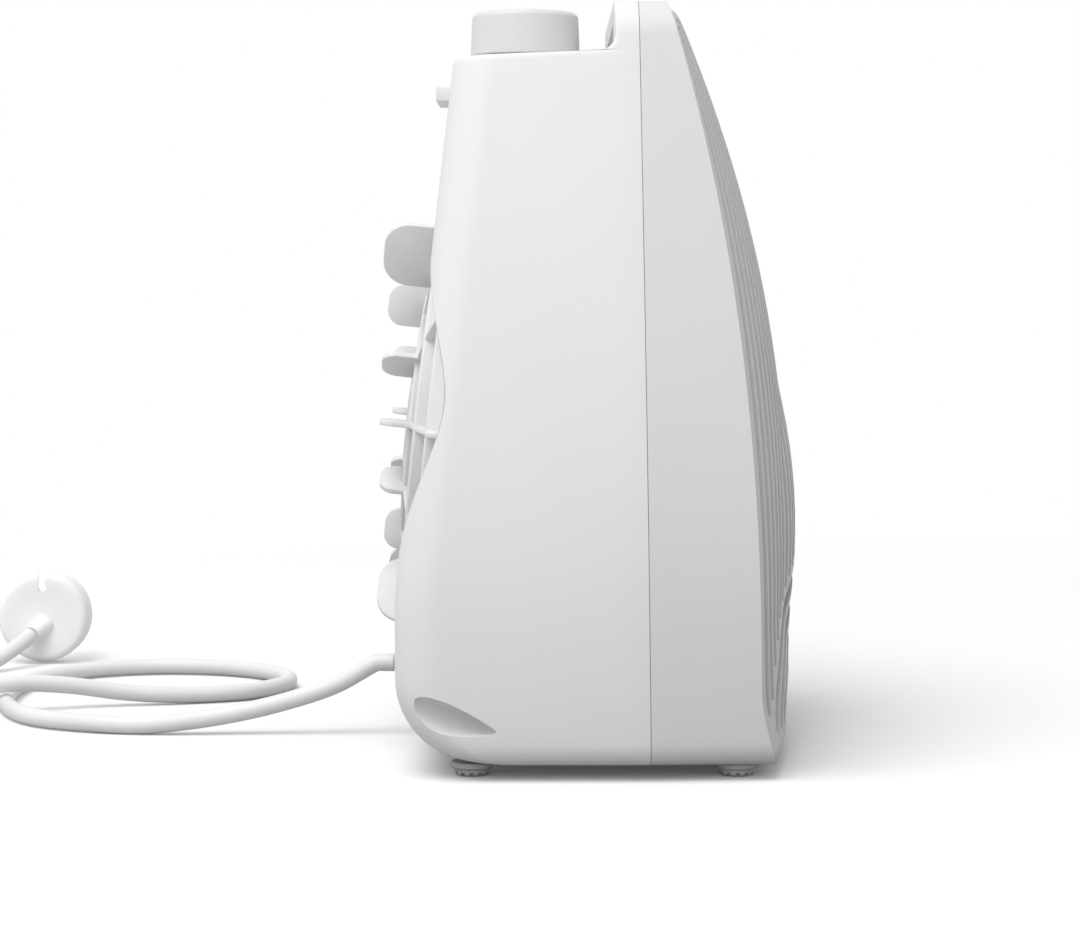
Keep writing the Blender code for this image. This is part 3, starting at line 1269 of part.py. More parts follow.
def casing(white):
    """Both shells with their fixings, the two grilles and the feet."""
    rear = rear_shell(white)
    case_screw_fixings(rear)
    duct_fixings(rear)
    deck_fixings(rear)
    foot_fixings(rear, FOOT_REAR_Y, 4 * MM)
    cut(rear, rod("exit", BUSHING_RADIUS + GAP, 0.03, 0.06, 14, along_y(0, CORD_EXIT_HEIGHT)))
    front = front_shell(white)
    front_screw_fixings(front)
    foot_fixings(front, FOOT_FRONT_Y, WALL / 2)
    dress(rear, "rear_shell", white)
    dress(front, "front_shell", white)
    front_grille(white)
    inlet_grille(white)
    for side, word in ((-1, "left"), (1, "right")):
        foot(f"foot_rear_{word}", side * FOOT_X, FOOT_REAR_Y, white)
        foot(f"foot_front_{word}", side * FOOT_X, FOOT_FRONT_Y, white)


def plate_screw(name, x, material):
    """Screw up through the control plate into its post."""
    under = PLATE_HEIGHT - PLATE_THICKNESS - GAP
    head = under - SCREW_HEAD_HEIGHT
    tip = PLATE_HEIGHT + 6 * MM
    profile = [(0, head), (SCREW_HEAD_RADIUS, head), (SCREW_HEAD_RADIUS, under), (SCREW_RADIUS, under)]
    profile += [(SCREW_RADIUS, tip - MM), (0, tip)]
    return dress(turned(name, profile, 8, Matrix.Translation((x, KNOB_Y, 0))), name, material)


def controls(white, plastic, steel):
    """Knobs, spindles and the switches under the deck."""
    knob("thermostat_knob", -KNOB_X, white)
    knob("mode_knob", KNOB_X, white)
    spindle("thermostat_spindle", -KNOB_X, steel)
    spindle("mode_spindle", KNOB_X, steel)
    switch_body("thermostat_body", -KNOB_X, True, plastic)
    switch_body("mode_switch_body", KNOB_X, False, plastic)
    control_plate(steel)
    plate_screw("plate_screw_left", -POST_X, steel)
    plate_screw("plate_screw_right", POST_X, steel)


def fan_and_motor(plastic, steel, copper):
    """Duct, fan, and the motor screwed to the duct's spider."""
    air_duct(plastic)
    fan_impeller(plastic)
    fan_retainer(steel)
    motor_shaft(steel)
    motor_rotor(steel)
    motor_core(steel)
    motor_coil(copper)
    front = CORE_FRONT - GAP - BRIDGE_THICKNESS
    rear = CORE_REAR + GAP
    motor_bridge("motor_bridge_front", front, steel)
    motor_bridge("motor_bridge_rear", rear, steel)
    bearing("bearing_front", front + BRIDGE_THICKNESS / 2, copper)
    bearing("bearing_rear", rear + BRIDGE_THICKNESS / 2, copper)
    head = rear + BRIDGE_THICKNESS + GAP + SCREW_HEAD_HEIGHT
    screw("motor_screw_left", -MOTOR_SCREW_X, FAN_HEIGHT, head, front - 1.5 * MM, steel)
    screw("motor_screw_right", MOTOR_SCREW_X, FAN_HEIGHT, head, front - 1.5 * MM, steel)


def case_and_duct_screws(steel):
    """The screws that hold the shells together and the duct in the rear shell."""
    words = ("lower_left", "lower_right", "upper_left", "upper_right")
    for (x, z), word in zip(case_screw_places(), words):
        head = rear_wall(z) - WALL - SCREW_WELL + GAP + SCREW_HEAD_HEIGHT
        screw(f"case_screw_{word}", x, z, head, split_plane(z) - 6.5 * MM, steel)
    head = DUCT_REAR - 2.4 * MM - GAP - SCREW_HEAD_HEIGHT
    words = ("upper_right", "upper_left", "lower_left", "lower_right")
    for (x, z), word in zip(duct_screw_places(), words):
        screw(f"duct_screw_{word}", x, z, head, DUCT_REAR + 5.6 * MM, steel, -1)


def cord_and_plug(plastic, steel):
    """Strain relief, the cord as it lies with its coil, and the plug."""
    cord_bushing(plastic)
    run = smooth_route(RUN_POINTS, 2.5 * CORD_DIAMETER)
    coil = coil_route()
    lead = smooth_route(LEAD_POINTS, 2.0 * CORD_DIAMETER)
    tube("cord_run", run, 2, plastic)
    tube("cord_coil", coil, 1, plastic)
    tube("cord_lead", lead, 2, plastic)
    plug_body(plastic)
    plug_pin("plug_pin_left", -1, steel)
    plug_pin("plug_pin_right", 1, steel)
    print(f"cord length {route_length(run) + route_length(coil) + route_length(lead):.3f} m")
    print(f"coil's least gap to itself {least_gap(coil) * 1000:.2f} mm")


def centre_on_origin():
    """Hang everything on one empty, moved so that the heater's depth is centred on the origin."""
    pieces = list(bpy.data.objects)
    front = min(vert.co.y for vert in bpy.data.objects["front_grille"].data.vertices)
    rear = max(vert.co.y for vert in bpy.data.objects["inlet_grille"].data.vertices)
    frame = bpy.data.objects.new("fan_heater", None)
    bpy.context.scene.collection.objects.link(frame)
    frame.location = (0, -(front + rear) / 2, 0)
    for piece in pieces:
        piece.parent = frame
    print(f"moved by {frame.location.y * 1000:.3f} mm along Y")


def main():
    """Build every piece of the heater."""
    clear_scene()
    white = make_material("white_plastic", (0.86, 0.86, 0.86), 0.45)
    plastic = make_material("inner_plastic", (0.25, 0.25, 0.26), 0.5)
    steel = make_material("steel", (0.6, 0.6, 0.62), 0.35, 1.0)
    copper = make_material("copper", (0.7, 0.4, 0.22), 0.4, 1.0)
    cord = make_material("cord_plastic", (0.88, 0.88, 0.88), 0.4)
    casing(white)
    controls(white, plastic, steel)
    fan_and_motor(plastic, steel, copper)
    heater_frame(steel)
    heating_ribbon(steel)
    thermal_cutout(plastic)
    case_and_duct_screws(steel)
    cord_and_plug(cord, steel)
    centre_on_origin()


if __name__ == "__main__":
    main()
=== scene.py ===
"""Studio scene of an upright fan heater with two knobs, a ribbed outlet and a round rear inlet."""

from __future__ import annotations

import logging
import math
from collections.abc import Iterator
from dataclasses import dataclass
from enum import Enum

import bmesh
import bpy
from mathutils import Matrix, Vector


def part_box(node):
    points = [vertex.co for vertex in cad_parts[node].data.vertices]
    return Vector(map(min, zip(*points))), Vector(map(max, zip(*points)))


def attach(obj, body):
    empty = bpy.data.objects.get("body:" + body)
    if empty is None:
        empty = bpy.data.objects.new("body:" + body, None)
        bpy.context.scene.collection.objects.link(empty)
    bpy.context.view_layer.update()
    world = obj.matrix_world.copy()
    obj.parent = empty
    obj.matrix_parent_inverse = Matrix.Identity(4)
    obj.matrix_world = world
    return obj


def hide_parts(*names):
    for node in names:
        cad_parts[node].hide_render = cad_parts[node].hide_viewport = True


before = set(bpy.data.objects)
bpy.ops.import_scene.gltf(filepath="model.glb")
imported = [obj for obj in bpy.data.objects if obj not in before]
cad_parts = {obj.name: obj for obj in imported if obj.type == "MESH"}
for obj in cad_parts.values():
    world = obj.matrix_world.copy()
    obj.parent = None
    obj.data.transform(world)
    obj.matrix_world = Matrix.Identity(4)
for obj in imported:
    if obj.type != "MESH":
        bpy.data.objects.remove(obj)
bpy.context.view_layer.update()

log = logging.getLogger("fan_heater")

BMesh = bmesh.types.BMesh
Material = bpy.types.Material
Piece = bpy.types.Object
Socket = bpy.types.NodeSocket
Flat = tuple[float, float]  # a place on a plane, or a range
Spot = tuple[float, float, float]
Outline = list[Flat]

MM = 0.001
SHIFT_Y = 0.017349  # the casing's own frame lies this far behind the scene's
SHIFT = Vector((0.0, SHIFT_Y, 0.0))
SPINDLE_X, SPINDLE_Y = 0.039, 0.005
WELD = 0.000002


class Joining(Enum):
    """How two shapes become one."""

    UNION = "UNION"
    DIFFERENCE = "DIFFERENCE"


# ---------------------------------------------------------------- node trees


class Graph:
    """A material's or world's node tree, with short calls that add and join its nodes."""

    def __init__(self, owner: Material | bpy.types.World, output: str = "ShaderNodeOutputMaterial") -> None:
        """Starts an empty tree.

        Args:
            owner: the material or world.
            output: the type of its output node.
        """
        owner.use_nodes = True
        self.owner, self.tree = owner, owner.node_tree
        self.tree.nodes.clear()
        self.output = self.add(output)

    def add(self, kind: str, inputs: dict[str | int, object] | None = None, **settings: object) -> bpy.types.Node:
        """Adds a node.

        Args:
            kind: the node's type.
            inputs: what goes in: a socket is linked, a value is set, and None is passed over.
            settings: properties to set on it.

        Returns:
            The node.
        """
        node = self.tree.nodes.new(kind)
        for key, value in settings.items():
            setattr(node, key, value)
        for key, value in (inputs or {}).items():
            if isinstance(value, Socket):
                self.tree.links.new(value, node.inputs[key])
            elif value is not None:
                node.inputs[key].default_value = value
        return node

    def place(self, scale: Spot = (1, 1, 1)) -> Socket:
        """Object coordinates, scaled along each axis."""
        where = self.add("ShaderNodeTexCoord").outputs["Object"]
        return self.add("ShaderNodeMapping", {"Scale": scale, "Vector": where}).outputs["Vector"]

    def noise(self, at: Socket, scale: float, detail: float = 2.0, rough: float = 0.5) -> Socket:
        """A noise pattern of scale cells to the metre, with finer octaves of strength rough."""
        inputs = {"Vector": at, "Scale": scale, "Detail": detail, "Roughness": rough}
        return self.add("ShaderNodeTexNoise", inputs).outputs["Fac"]

    def bands(self, axis: str, width: float, distortion: float = 0.0) -> Socket:
        """A wave across an axis, one band to each width."""
        inputs = {"Vector": self.place(), "Scale": math.tau / 20 / width, "Distortion": distortion}
        return self.add("ShaderNodeTexWave", inputs, bands_direction=axis).outputs["Fac"]

    def spread(self, value: Socket, low: float, high: float, start: float = 0.3, end: float = 0.7) -> Socket:
        """A value mapped from start and end to low and high."""
        inputs = {"Value": value, "From Min": start, "From Max": end, "To Min": low, "To Max": high}
        return self.add("ShaderNodeMapRange", inputs).outputs["Result"]

    def reckon(self, operation: str, first: Socket, second: Socket) -> Socket:
        """Two values added, multiplied or compared."""
        return self.add("ShaderNodeMath", {0: first, 1: second}, operation=operation).outputs[0]

    def tint(self, factor: Socket, first: Spot, second: Spot) -> Socket:
        """A blend of two colours, the first at 0 and the second at 1."""
        inputs = {"Factor": factor, "A": (*first, 1), "B": (*second, 1)}
        return self.add("ShaderNodeMix", inputs, data_type="RGBA").outputs["Result"]

    def eased(self, radius: float, samples: int) -> Socket:
        """The normal, with edges rounded by a radius in the shading."""
        return self.add("ShaderNodeBevel", {"Radius": radius}, samples=samples).outputs["Normal"]

    def relief(self, height: Socket, strength: float, distance: float, normal: Socket | None = None) -> Socket:
        """A bump over a normal, or over the surface's own; distance is its height in metres at 1."""
        inputs = {"Height": height, "Strength": strength, "Distance": distance, "Normal": normal}
        return self.add("ShaderNodeBump", inputs).outputs["Normal"]

    def seen_ray(self) -> Socket:
        """Tells the rays of the camera, of reflections and of clear bodies from the rest.

        Returns:
            1 for such a ray, 0 for any other.
        """
        ray = self.add("ShaderNodeLightPath").outputs
        seen = self.reckon("MAXIMUM", ray["Is Camera Ray"], ray["Is Glossy Ray"])
        return self.reckon("MAXIMUM", seen, ray["Is Transmission Ray"])

    def finish(self, shader: Socket) -> Material:
        """Links the shader to the output and hands the tree's owner back."""
        self.tree.links.new(shader, self.output.inputs["Surface"])
        return self.owner

    def surface(self, colour: Socket, rough: Socket, normal: Socket, metallic: float = 0.0,
                specular: float = 0.5) -> Material:
        """Closes the tree with a Principled surface.

        Args:
            colour: its base colour.
            rough: its roughness.
            normal: its normal.
            metallic: 1 for a metal.
            specular: its specular level.

        Returns:
            The material.
        """
        inputs = {"Base Color": colour, "Roughness": rough, "Normal": normal, "Metallic": metallic,
                  "Specular IOR Level": specular}
        return self.finish(self.add("ShaderNodeBsdfPrincipled", inputs).outputs["BSDF"])


# ------------------------------------------------------------------ finishes


@dataclass(frozen=True)
class MouldedPlastic:
    """Injection-moulded plastic, a slightly warm grey with a fine spark-eroded grain.

    Attributes:
        name: the material's name.
        tone: main grey, linear.
        shade: grey of the faint cloudy drift in it.
        rough: mean roughness.
        grain: grains to the metre.
        depth: grain depth in metres.
        edge: radius that edges are eased by in the shading, in metres.
    """

    name: str
    tone: float
    shade: float
    rough: float = 0.55
    grain: float = 1900.0
    depth: float = 0.03 * MM
    edge: float = 0.35 * MM

    def build(self) -> Material:
        """Makes the material: clouded colour, uneven gloss, grain and softened edges.

        Returns:
            The material.
        """
        g = Graph(bpy.data.materials.new(self.name))
        at = g.place()
        tone, shade = ((grey, grey, grey - 0.005) for grey in (self.tone, self.shade))
        colour = g.tint(g.spread(g.noise(at, 14, 3), 0, 1, 0.35, 0.68), tone, shade)
        fine = g.noise(at, self.grain, 3, 0.6)
        flow = g.noise(g.place((9, 9, 2)), 11, 4, 0.55)
        rough = g.reckon("ADD", g.spread(flow, -0.05, 0.05), g.spread(fine, self.rough - 0.04, self.rough + 0.04))
        wave = g.relief(g.noise(at, 42, 1), 0.12, 0.25 * MM, g.eased(self.edge, 6))
        return g.surface(colour, rough, g.relief(fine, 0.5, self.depth, wave), 0.0, 0.3)


@dataclass(frozen=True)
class DrawnMetal:
    """Sheet, bar or pin metal with fine drawing lines along X.

    Attributes:
        name: the material's name.
        colour: main colour, linear.
        stain: colour of the duller patches.
        rough: mean roughness.
    """

    name: str
    colour: Spot
    stain: Spot
    rough: float = 0.3

    def build(self) -> Material:
        """Makes the material: drawing lines, dull patches and uneven gloss.

        Returns:
            The material.
        """
        g = Graph(bpy.data.materials.new(self.name))
        lines = g.noise(g.place((60, 900, 900)), 1.0, 4, 0.6)
        colour = g.tint(g.spread(g.noise(g.place(), 55, 4), 0, 1, 0.45, 0.75), self.colour, self.stain)
        rough = g.spread(lines, self.rough - 0.08, self.rough + 0.12)
        return g.surface(colour, rough, g.relief(lines, 0.3, 0.02 * MM, g.eased(0.2 * MM, 4)), 1.0)


@dataclass(frozen=True)
class WoundCopper:
    """Enamelled copper wire wound in close layers round a bobbin."""

    name: str = "enamelled_winding"
    wire: float = 0.5 * MM

    def build(self) -> Material:
        """Makes the material: wire after wire as a wave in colour and height, with painted shade darkening the
        grooves between wires.

        Returns:
            The material.
        """
        g = Graph(bpy.data.materials.new(self.name))
        wires = g.bands("Z", self.wire, 0.6)
        # painted shade: the colour darkens with the wave into the grooves between wires
        colour = g.tint(g.spread(wires, 0, 1, 0, 1), (0.24, 0.07, 0.02), (0.62, 0.24, 0.08))
        rough = g.spread(g.noise(g.place(), 400), 0.25, 0.4)
        return g.surface(colour, rough, g.relief(wires, 0.9, 0.2 * MM), 1.0)


@dataclass(frozen=True)
class StackedSteel:
    """The edge of a laminated motor core: thin plates side by side."""

    name: str = "laminated_steel"
    plate: float = 0.5 * MM

    def build(self) -> Material:
        """Makes the material: a line between plates, with patches of blue oxide.

        Returns:
            The material.
        """
        g = Graph(bpy.data.materials.new(self.name))
        plates = g.bands("Y", self.plate)
        patch = g.spread(g.noise(g.place(), 90, 4), 0, 1, 0.4, 0.7)
        colour = g.tint(patch, (0.34, 0.34, 0.35), (0.16, 0.19, 0.24))
        return g.surface(colour, g.spread(plates, 0.32, 0.5, 0, 1), g.relief(plates, 0.6, 0.1 * MM), 1.0)


@dataclass(frozen=True)
class CordSheath:
    """Soft round PVC sheath, slightly glossy, with faint flow marks."""

    name: str = "cord_sheath"

    def build(self) -> Material:
        """Makes the material: soft colour drift, a fine skin and a low gloss.

        Returns:
            The material.
        """
        g = Graph(bpy.data.materials.new(self.name))
        at = g.place()
        colour = g.tint(g.spread(g.noise(at, 26, 3), 0, 1, 0.35, 0.7), (0.80, 0.80, 0.79), (0.74, 0.74, 0.73))
        rough = g.spread(g.noise(at, 120, 3), 0.38, 0.52)
        return g.surface(colour, rough, g.relief(g.noise(at, 1400, 2), 0.35, 0.03 * MM), 0.0, 0.4)


@dataclass(frozen=True)
class MicaSheet:
    """Flaky grey-brown mica of a heating element's frame."""

    name: str = "mica_sheet"

    def build(self) -> Material:
        """Makes the material: flakes of two colours with a pearly gloss.

        Returns:
            The material.
        """
        g = Graph(bpy.data.materials.new(self.name))
        cells = g.add("ShaderNodeTexVoronoi", {"Vector": g.place(), "Scale": 420}, feature="F1")
        flakes = cells.outputs["Distance"]
        colour = g.tint(g.spread(flakes, 0, 1, 0.1, 0.6), (0.42, 0.37, 0.29), (0.30, 0.26, 0.20))
        rough = g.spread(g.noise(g.place(), 300, 3), 0.3, 0.6)
        return g.surface(colour, rough, g.relief(flakes, 0.4, 0.08 * MM), 0.0, 0.6)


@dataclass(frozen=True)
class StudioFloor:
    """White floor that keeps the object's shadow near it and runs out into plain white.

    Attributes:
        name: the material's name.
        centre: where distances are measured from.
        least: share of plain white close by, in what the camera sees.
        near: distance at which that share starts to grow.
        far: distance at which all is plain white.
        dim: distance at which the floor starts to throw more light back.
        bright: distance at which it throws the most.
    """

    name: str = "studio_floor"
    centre: Spot = (0.02, -0.12, 0)
    least: float = 0.045
    near: float = 0.26
    far: float = 0.75
    dim: float = 0.12
    bright: float = 0.62

    def build(self) -> Material:
        """Makes the material: matt white, fading to plain white with distance in what the camera sees.

        Returns:
            The material.
        """
        g = Graph(bpy.data.materials.new(self.name))
        at, seen = g.place(), g.seen_ray()
        away = g.add("ShaderNodeVectorMath", {0: at, 1: self.centre}, operation="DISTANCE").outputs["Value"]
        shown_colour = g.tint(g.spread(g.noise(at, 3, 2), 0, 1), (0.94, 0.94, 0.94), (0.93, 0.93, 0.93))
        thrown = g.tint(g.spread(away, 0, 1, self.dim, self.bright), (0.3, 0.3, 0.3), (0.75, 0.75, 0.75))
        colour = g.add("ShaderNodeMix", {"Factor": seen, "A": thrown, "B": shown_colour}, data_type="RGBA")
        matt = g.add("ShaderNodeBsdfDiffuse", {"Color": colour.outputs["Result"]}).outputs["BSDF"]
        gone = g.reckon("MULTIPLY", g.spread(away, self.least, 1, self.near, self.far), seen)
        white = g.add("ShaderNodeEmission").outputs["Emission"]
        return g.finish(g.add("ShaderNodeMixShader", {"Fac": gone, 1: matt, 2: white}).outputs["Shader"])


class Palette:
    """Every finish of the heater, each built once."""

    def __init__(self) -> None:
        """Builds the materials."""
        self.casing = MouldedPlastic("white_plastic_casing", 0.74, 0.725).build()
        # The front shell is the casing's white plastic, painted darker as the shade on the front, which faces away
        # from the lamps.
        self.front = MouldedPlastic("white_plastic_front_painted_shade", 0.665, 0.65).build()
        # The ribbed front panel is the same white plastic, painted darker still as the shade on its front face.
        self.panel = MouldedPlastic("white_plastic_panel_painted_shade", 0.60, 0.585).build()
        self.knob = MouldedPlastic("white_plastic_knob", 0.65, 0.635, 0.42, 2600.0, 0.02 * MM, 0.3 * MM).build()
        self.inner = MouldedPlastic("inner_plastic_duct", 0.24, 0.20, 0.6).build()
        # The feet are the casing's plastic, painted grey as the shade that falls on them under the casing.
        self.foot = MouldedPlastic("foot_plastic_painted_shade", 0.50, 0.45, 0.65, 1500.0, 0.05 * MM, 0.3 * MM).build()
        self.steel = DrawnMetal("plated_steel", (0.56, 0.56, 0.55), (0.44, 0.43, 0.41)).build()
        self.ribbon = DrawnMetal("heating_ribbon", (0.40, 0.37, 0.34), (0.24, 0.21, 0.19), 0.45).build()
        self.pin = DrawnMetal("nickelled_pin", (0.72, 0.69, 0.63), (0.62, 0.58, 0.50), 0.22).build()
        self.core = StackedSteel().build()
        self.copper = WoundCopper().build()
        self.mica = MicaSheet().build()
        self.cord = CordSheath().build()
        self.plug = MouldedPlastic("cord_plastic_plug", 0.94, 0.92, 0.5, 1700.0, 0.02 * MM, 0.5 * MM).build()
        self.floor = StudioFloor().build()


# ------------------------------------------------------------------- meshing


def shown(name: str, bm: BMesh, sharp: float = 35.0) -> Piece:
    """Turns a bmesh into a linked object with smooth faces and sharp creases.

    Args:
        name: the object's name.
        bm: the mesh, which is freed.
        sharp: crease angle in degrees.

    Returns:
        The object.
    """
    mesh = bpy.data.meshes.new(name)
    bm.to_mesh(mesh)
    bm.free()
    mesh.shade_smooth()
    mesh.set_sharp_from_angle(angle=math.radians(sharp))
    piece = bpy.data.objects.new(name, mesh)
    bpy.context.scene.collection.objects.link(piece)
    return piece


def finish_piece(piece: Piece, material: Material, *nodes: str, slot: str = "white_plastic",
                 body: str = "root") -> Piece:
    """Gives a piece its material and body, and lets it stand for CAD nodes.

    Args:
        piece: the finished object.
        material: its material.
        nodes: the nodes it replaces.
        slot: not used.
        body: the body it rides on.

    Returns:
        The piece.
    """
    piece.data.materials.clear()
    piece.data.materials.append(material)
    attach(piece, body)
    if nodes:
        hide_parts(*nodes)
    log.info("%s on %s", piece.name, body)
    return piece


def revolve(profile: Outline, steps: int, closed: bool = False) -> BMesh:
    """Spins an outline of (radius, height) round Z.

    Args:
        profile: the outline, from the axis back to the axis, or clear of it.
        steps: facets round.
        closed: True for an outline that stays clear of the axis.

    Returns:
        The closed mesh.
    """
    bm = bmesh.new()
    line = [bm.verts.new((r, 0, z)) for r, z in profile]
    edges = [bm.edges.new(pair) for pair in zip(line, line[1:] + line[:1] if closed else line[1:])]
    bmesh.ops.spin(bm, geom=line + edges, cent=(0, 0, 0), axis=(0, 0, 1), angle=math.tau, steps=steps,
                   use_merge=True)
    bmesh.ops.remove_doubles(bm, verts=bm.verts, dist=WELD)
    bmesh.ops.recalc_face_normals(bm, faces=bm.faces)
    return bm


def post(radius: float, low: float, high: float, place: Flat, steps: int = 40) -> BMesh:
    """An upright cylinder round a place in X and Y."""
    bm = revolve([(0, low), (radius, low), (radius, high), (0, high)], steps)
    return move(bm, Matrix.Translation((*place, 0)))


def extruded(bm: BMesh, outline: list[Spot], by: Spot) -> BMesh:
    """Adds the body that a flat outline sweeps.

    Args:
        bm: the mesh that it is added to.
        outline: the outline's corners.
        by: how far it moves.

    Returns:
        The mesh.
    """
    face = bm.faces.new([bm.verts.new(corner) for corner in outline])
    moved = bmesh.ops.extrude_face_region(bm, geom=[face])["geom"]
    bmesh.ops.translate(bm, vec=by, verts=[v for v in moved if isinstance(v, bmesh.types.BMVert)])
    bmesh.ops.recalc_face_normals(bm, faces=bm.faces)
    return bm


def loft(name: str, sections: list[list[Spot]]) -> Piece:
    """Bridges a row of outlines into one closed skin.

    Args:
        name: the object's name.
        sections: outlines of as many points each, in order.

    Returns:
        The object.
    """
    bm = bmesh.new()
    rings = []
    for outline in sections:
        verts = [bm.verts.new(point) for point in outline]
        rings.append([bm.edges.new((a, b)) for a, b in zip(verts, verts[1:] + verts[:1])])
    for low, high in zip(rings, rings[1:]):
        bmesh.ops.bridge_loops(bm, edges=low + high)
    for ring in (rings[0], rings[-1]):
        bmesh.ops.contextual_create(bm, geom=ring)
    bmesh.ops.recalc_face_normals(bm, faces=bm.faces)
    return shown(name, bm)


def quarter(centre: Flat, radius: float, start: float, end: float, steps: int = 6) -> Outline:
    """Points on an arc between two angles in degrees, in a number of steps."""
    turns = [math.radians(start + (end - start) * i / steps) for i in range(steps + 1)]
    return [(centre[0] + radius * math.cos(t), centre[1] + radius * math.sin(t)) for t in turns]


def move(bm: BMesh, place: Matrix) -> BMesh:
    """Moves the whole mesh and hands it back."""
    bmesh.ops.transform(bm, matrix=place, verts=bm.verts)
    return bm


def box_mesh(low: Spot, high: Spot, soften: float = 0.0) -> BMesh:
    """A box between two corners, with its edges rounded.

    Args:
        low: lowest corner.
        high: highest corner.
        soften: radius of its edges.

    Returns:
        The mesh.
    """
    bm = bmesh.new()
    bmesh.ops.create_cube(bm, size=1.0)
    bmesh.ops.scale(bm, vec=[b - a for a, b in zip(low, high)], verts=bm.verts)
    bmesh.ops.translate(bm, vec=[(a + b) / 2 for a, b in zip(low, high)], verts=bm.verts)
    return rounded(bm, bm.edges[:], soften) if soften else bm


def rounded(bm: BMesh, edges: list[bmesh.types.BMEdge], radius: float) -> BMesh:
    """Rounds edges in two steps and hands the mesh back."""
    bmesh.ops.bevel(bm, geom=edges, offset=radius, segments=2, profile=0.5, affect="EDGES", material=-1)
    return bm


def combine(base: Piece, how: Joining, *tools: Piece | BMesh) -> None:
    """Cuts or joins a piece with others, one after the other, and removes them.

    Args:
        base: the piece that changes.
        how: union or difference.
        tools: the other pieces or meshes.
    """
    for tool in tools:
        other = shown("tool", tool) if isinstance(tool, BMesh) else tool
        step = base.modifiers.new("join", "BOOLEAN")
        step.operation, step.solver, step.object = how.value, "EXACT", other
        graph = bpy.context.evaluated_depsgraph_get()
        graph.update()
        mesh = bpy.data.meshes.new_from_object(base.evaluated_get(graph))
        base.modifiers.remove(step)
        old, base.data = base.data, mesh
        mesh.name = base.name
        bpy.data.meshes.remove(old)
        bpy.data.objects.remove(other)


def take(whole: BMesh, part: Piece) -> None:
    """Adds a piece's mesh to another mesh and removes the piece."""
    whole.from_mesh(part.data)
    bpy.data.objects.remove(part)


def crease(piece: Piece, angle: float = 35.0) -> None:
    """Smooths a piece's faces, with sharp creases past an angle in degrees."""
    piece.data.shade_smooth()
    piece.data.set_sharp_from_angle(angle=math.radians(angle))


# ------------------------------------------------------------ camera and cord


@dataclass
class PhotoCamera:
    """Camera at the photograph's viewpoint, level with the upper casing and looking at its side."""

    place: Spot = (-0.9516, 0.017956, 0.16307)
    pitch: float = 0.06805
    yaw: float = -0.00071
    focal: float = 88.4
    sensor: float = 36.0

    def build(self) -> None:
        """Makes the camera and sets it as the scene's."""
        data = bpy.data.cameras.new("photo_camera")
        data.lens, data.sensor_width = self.focal, self.sensor
        data.clip_start, data.clip_end = 0.01, 60
        camera = bpy.data.objects.new("photo_camera", data)
        camera.location = self.place
        camera.rotation_euler = (math.pi / 2 - self.pitch, 0, -math.pi / 2 + self.yaw)
        bpy.context.scene.collection.objects.link(camera)
        bpy.context.scene.camera = camera
        log.info("camera")


def curve_point(a: Vector, b: Vector, c: Vector, d: Vector, t: float) -> Vector:
    """Point at t between b and c on the smooth curve through four points."""
    straight = 2 * b + (c - a) * t
    return 0.5 * (straight + (2 * a - 5 * b + 4 * c - d) * t**2 + (3 * b - a - 3 * c + d) * t**3)


def route_length(points: list[Vector]) -> float:
    """Length along a row of points."""
    return sum((b - a).length for a, b in zip(points, points[1:]))


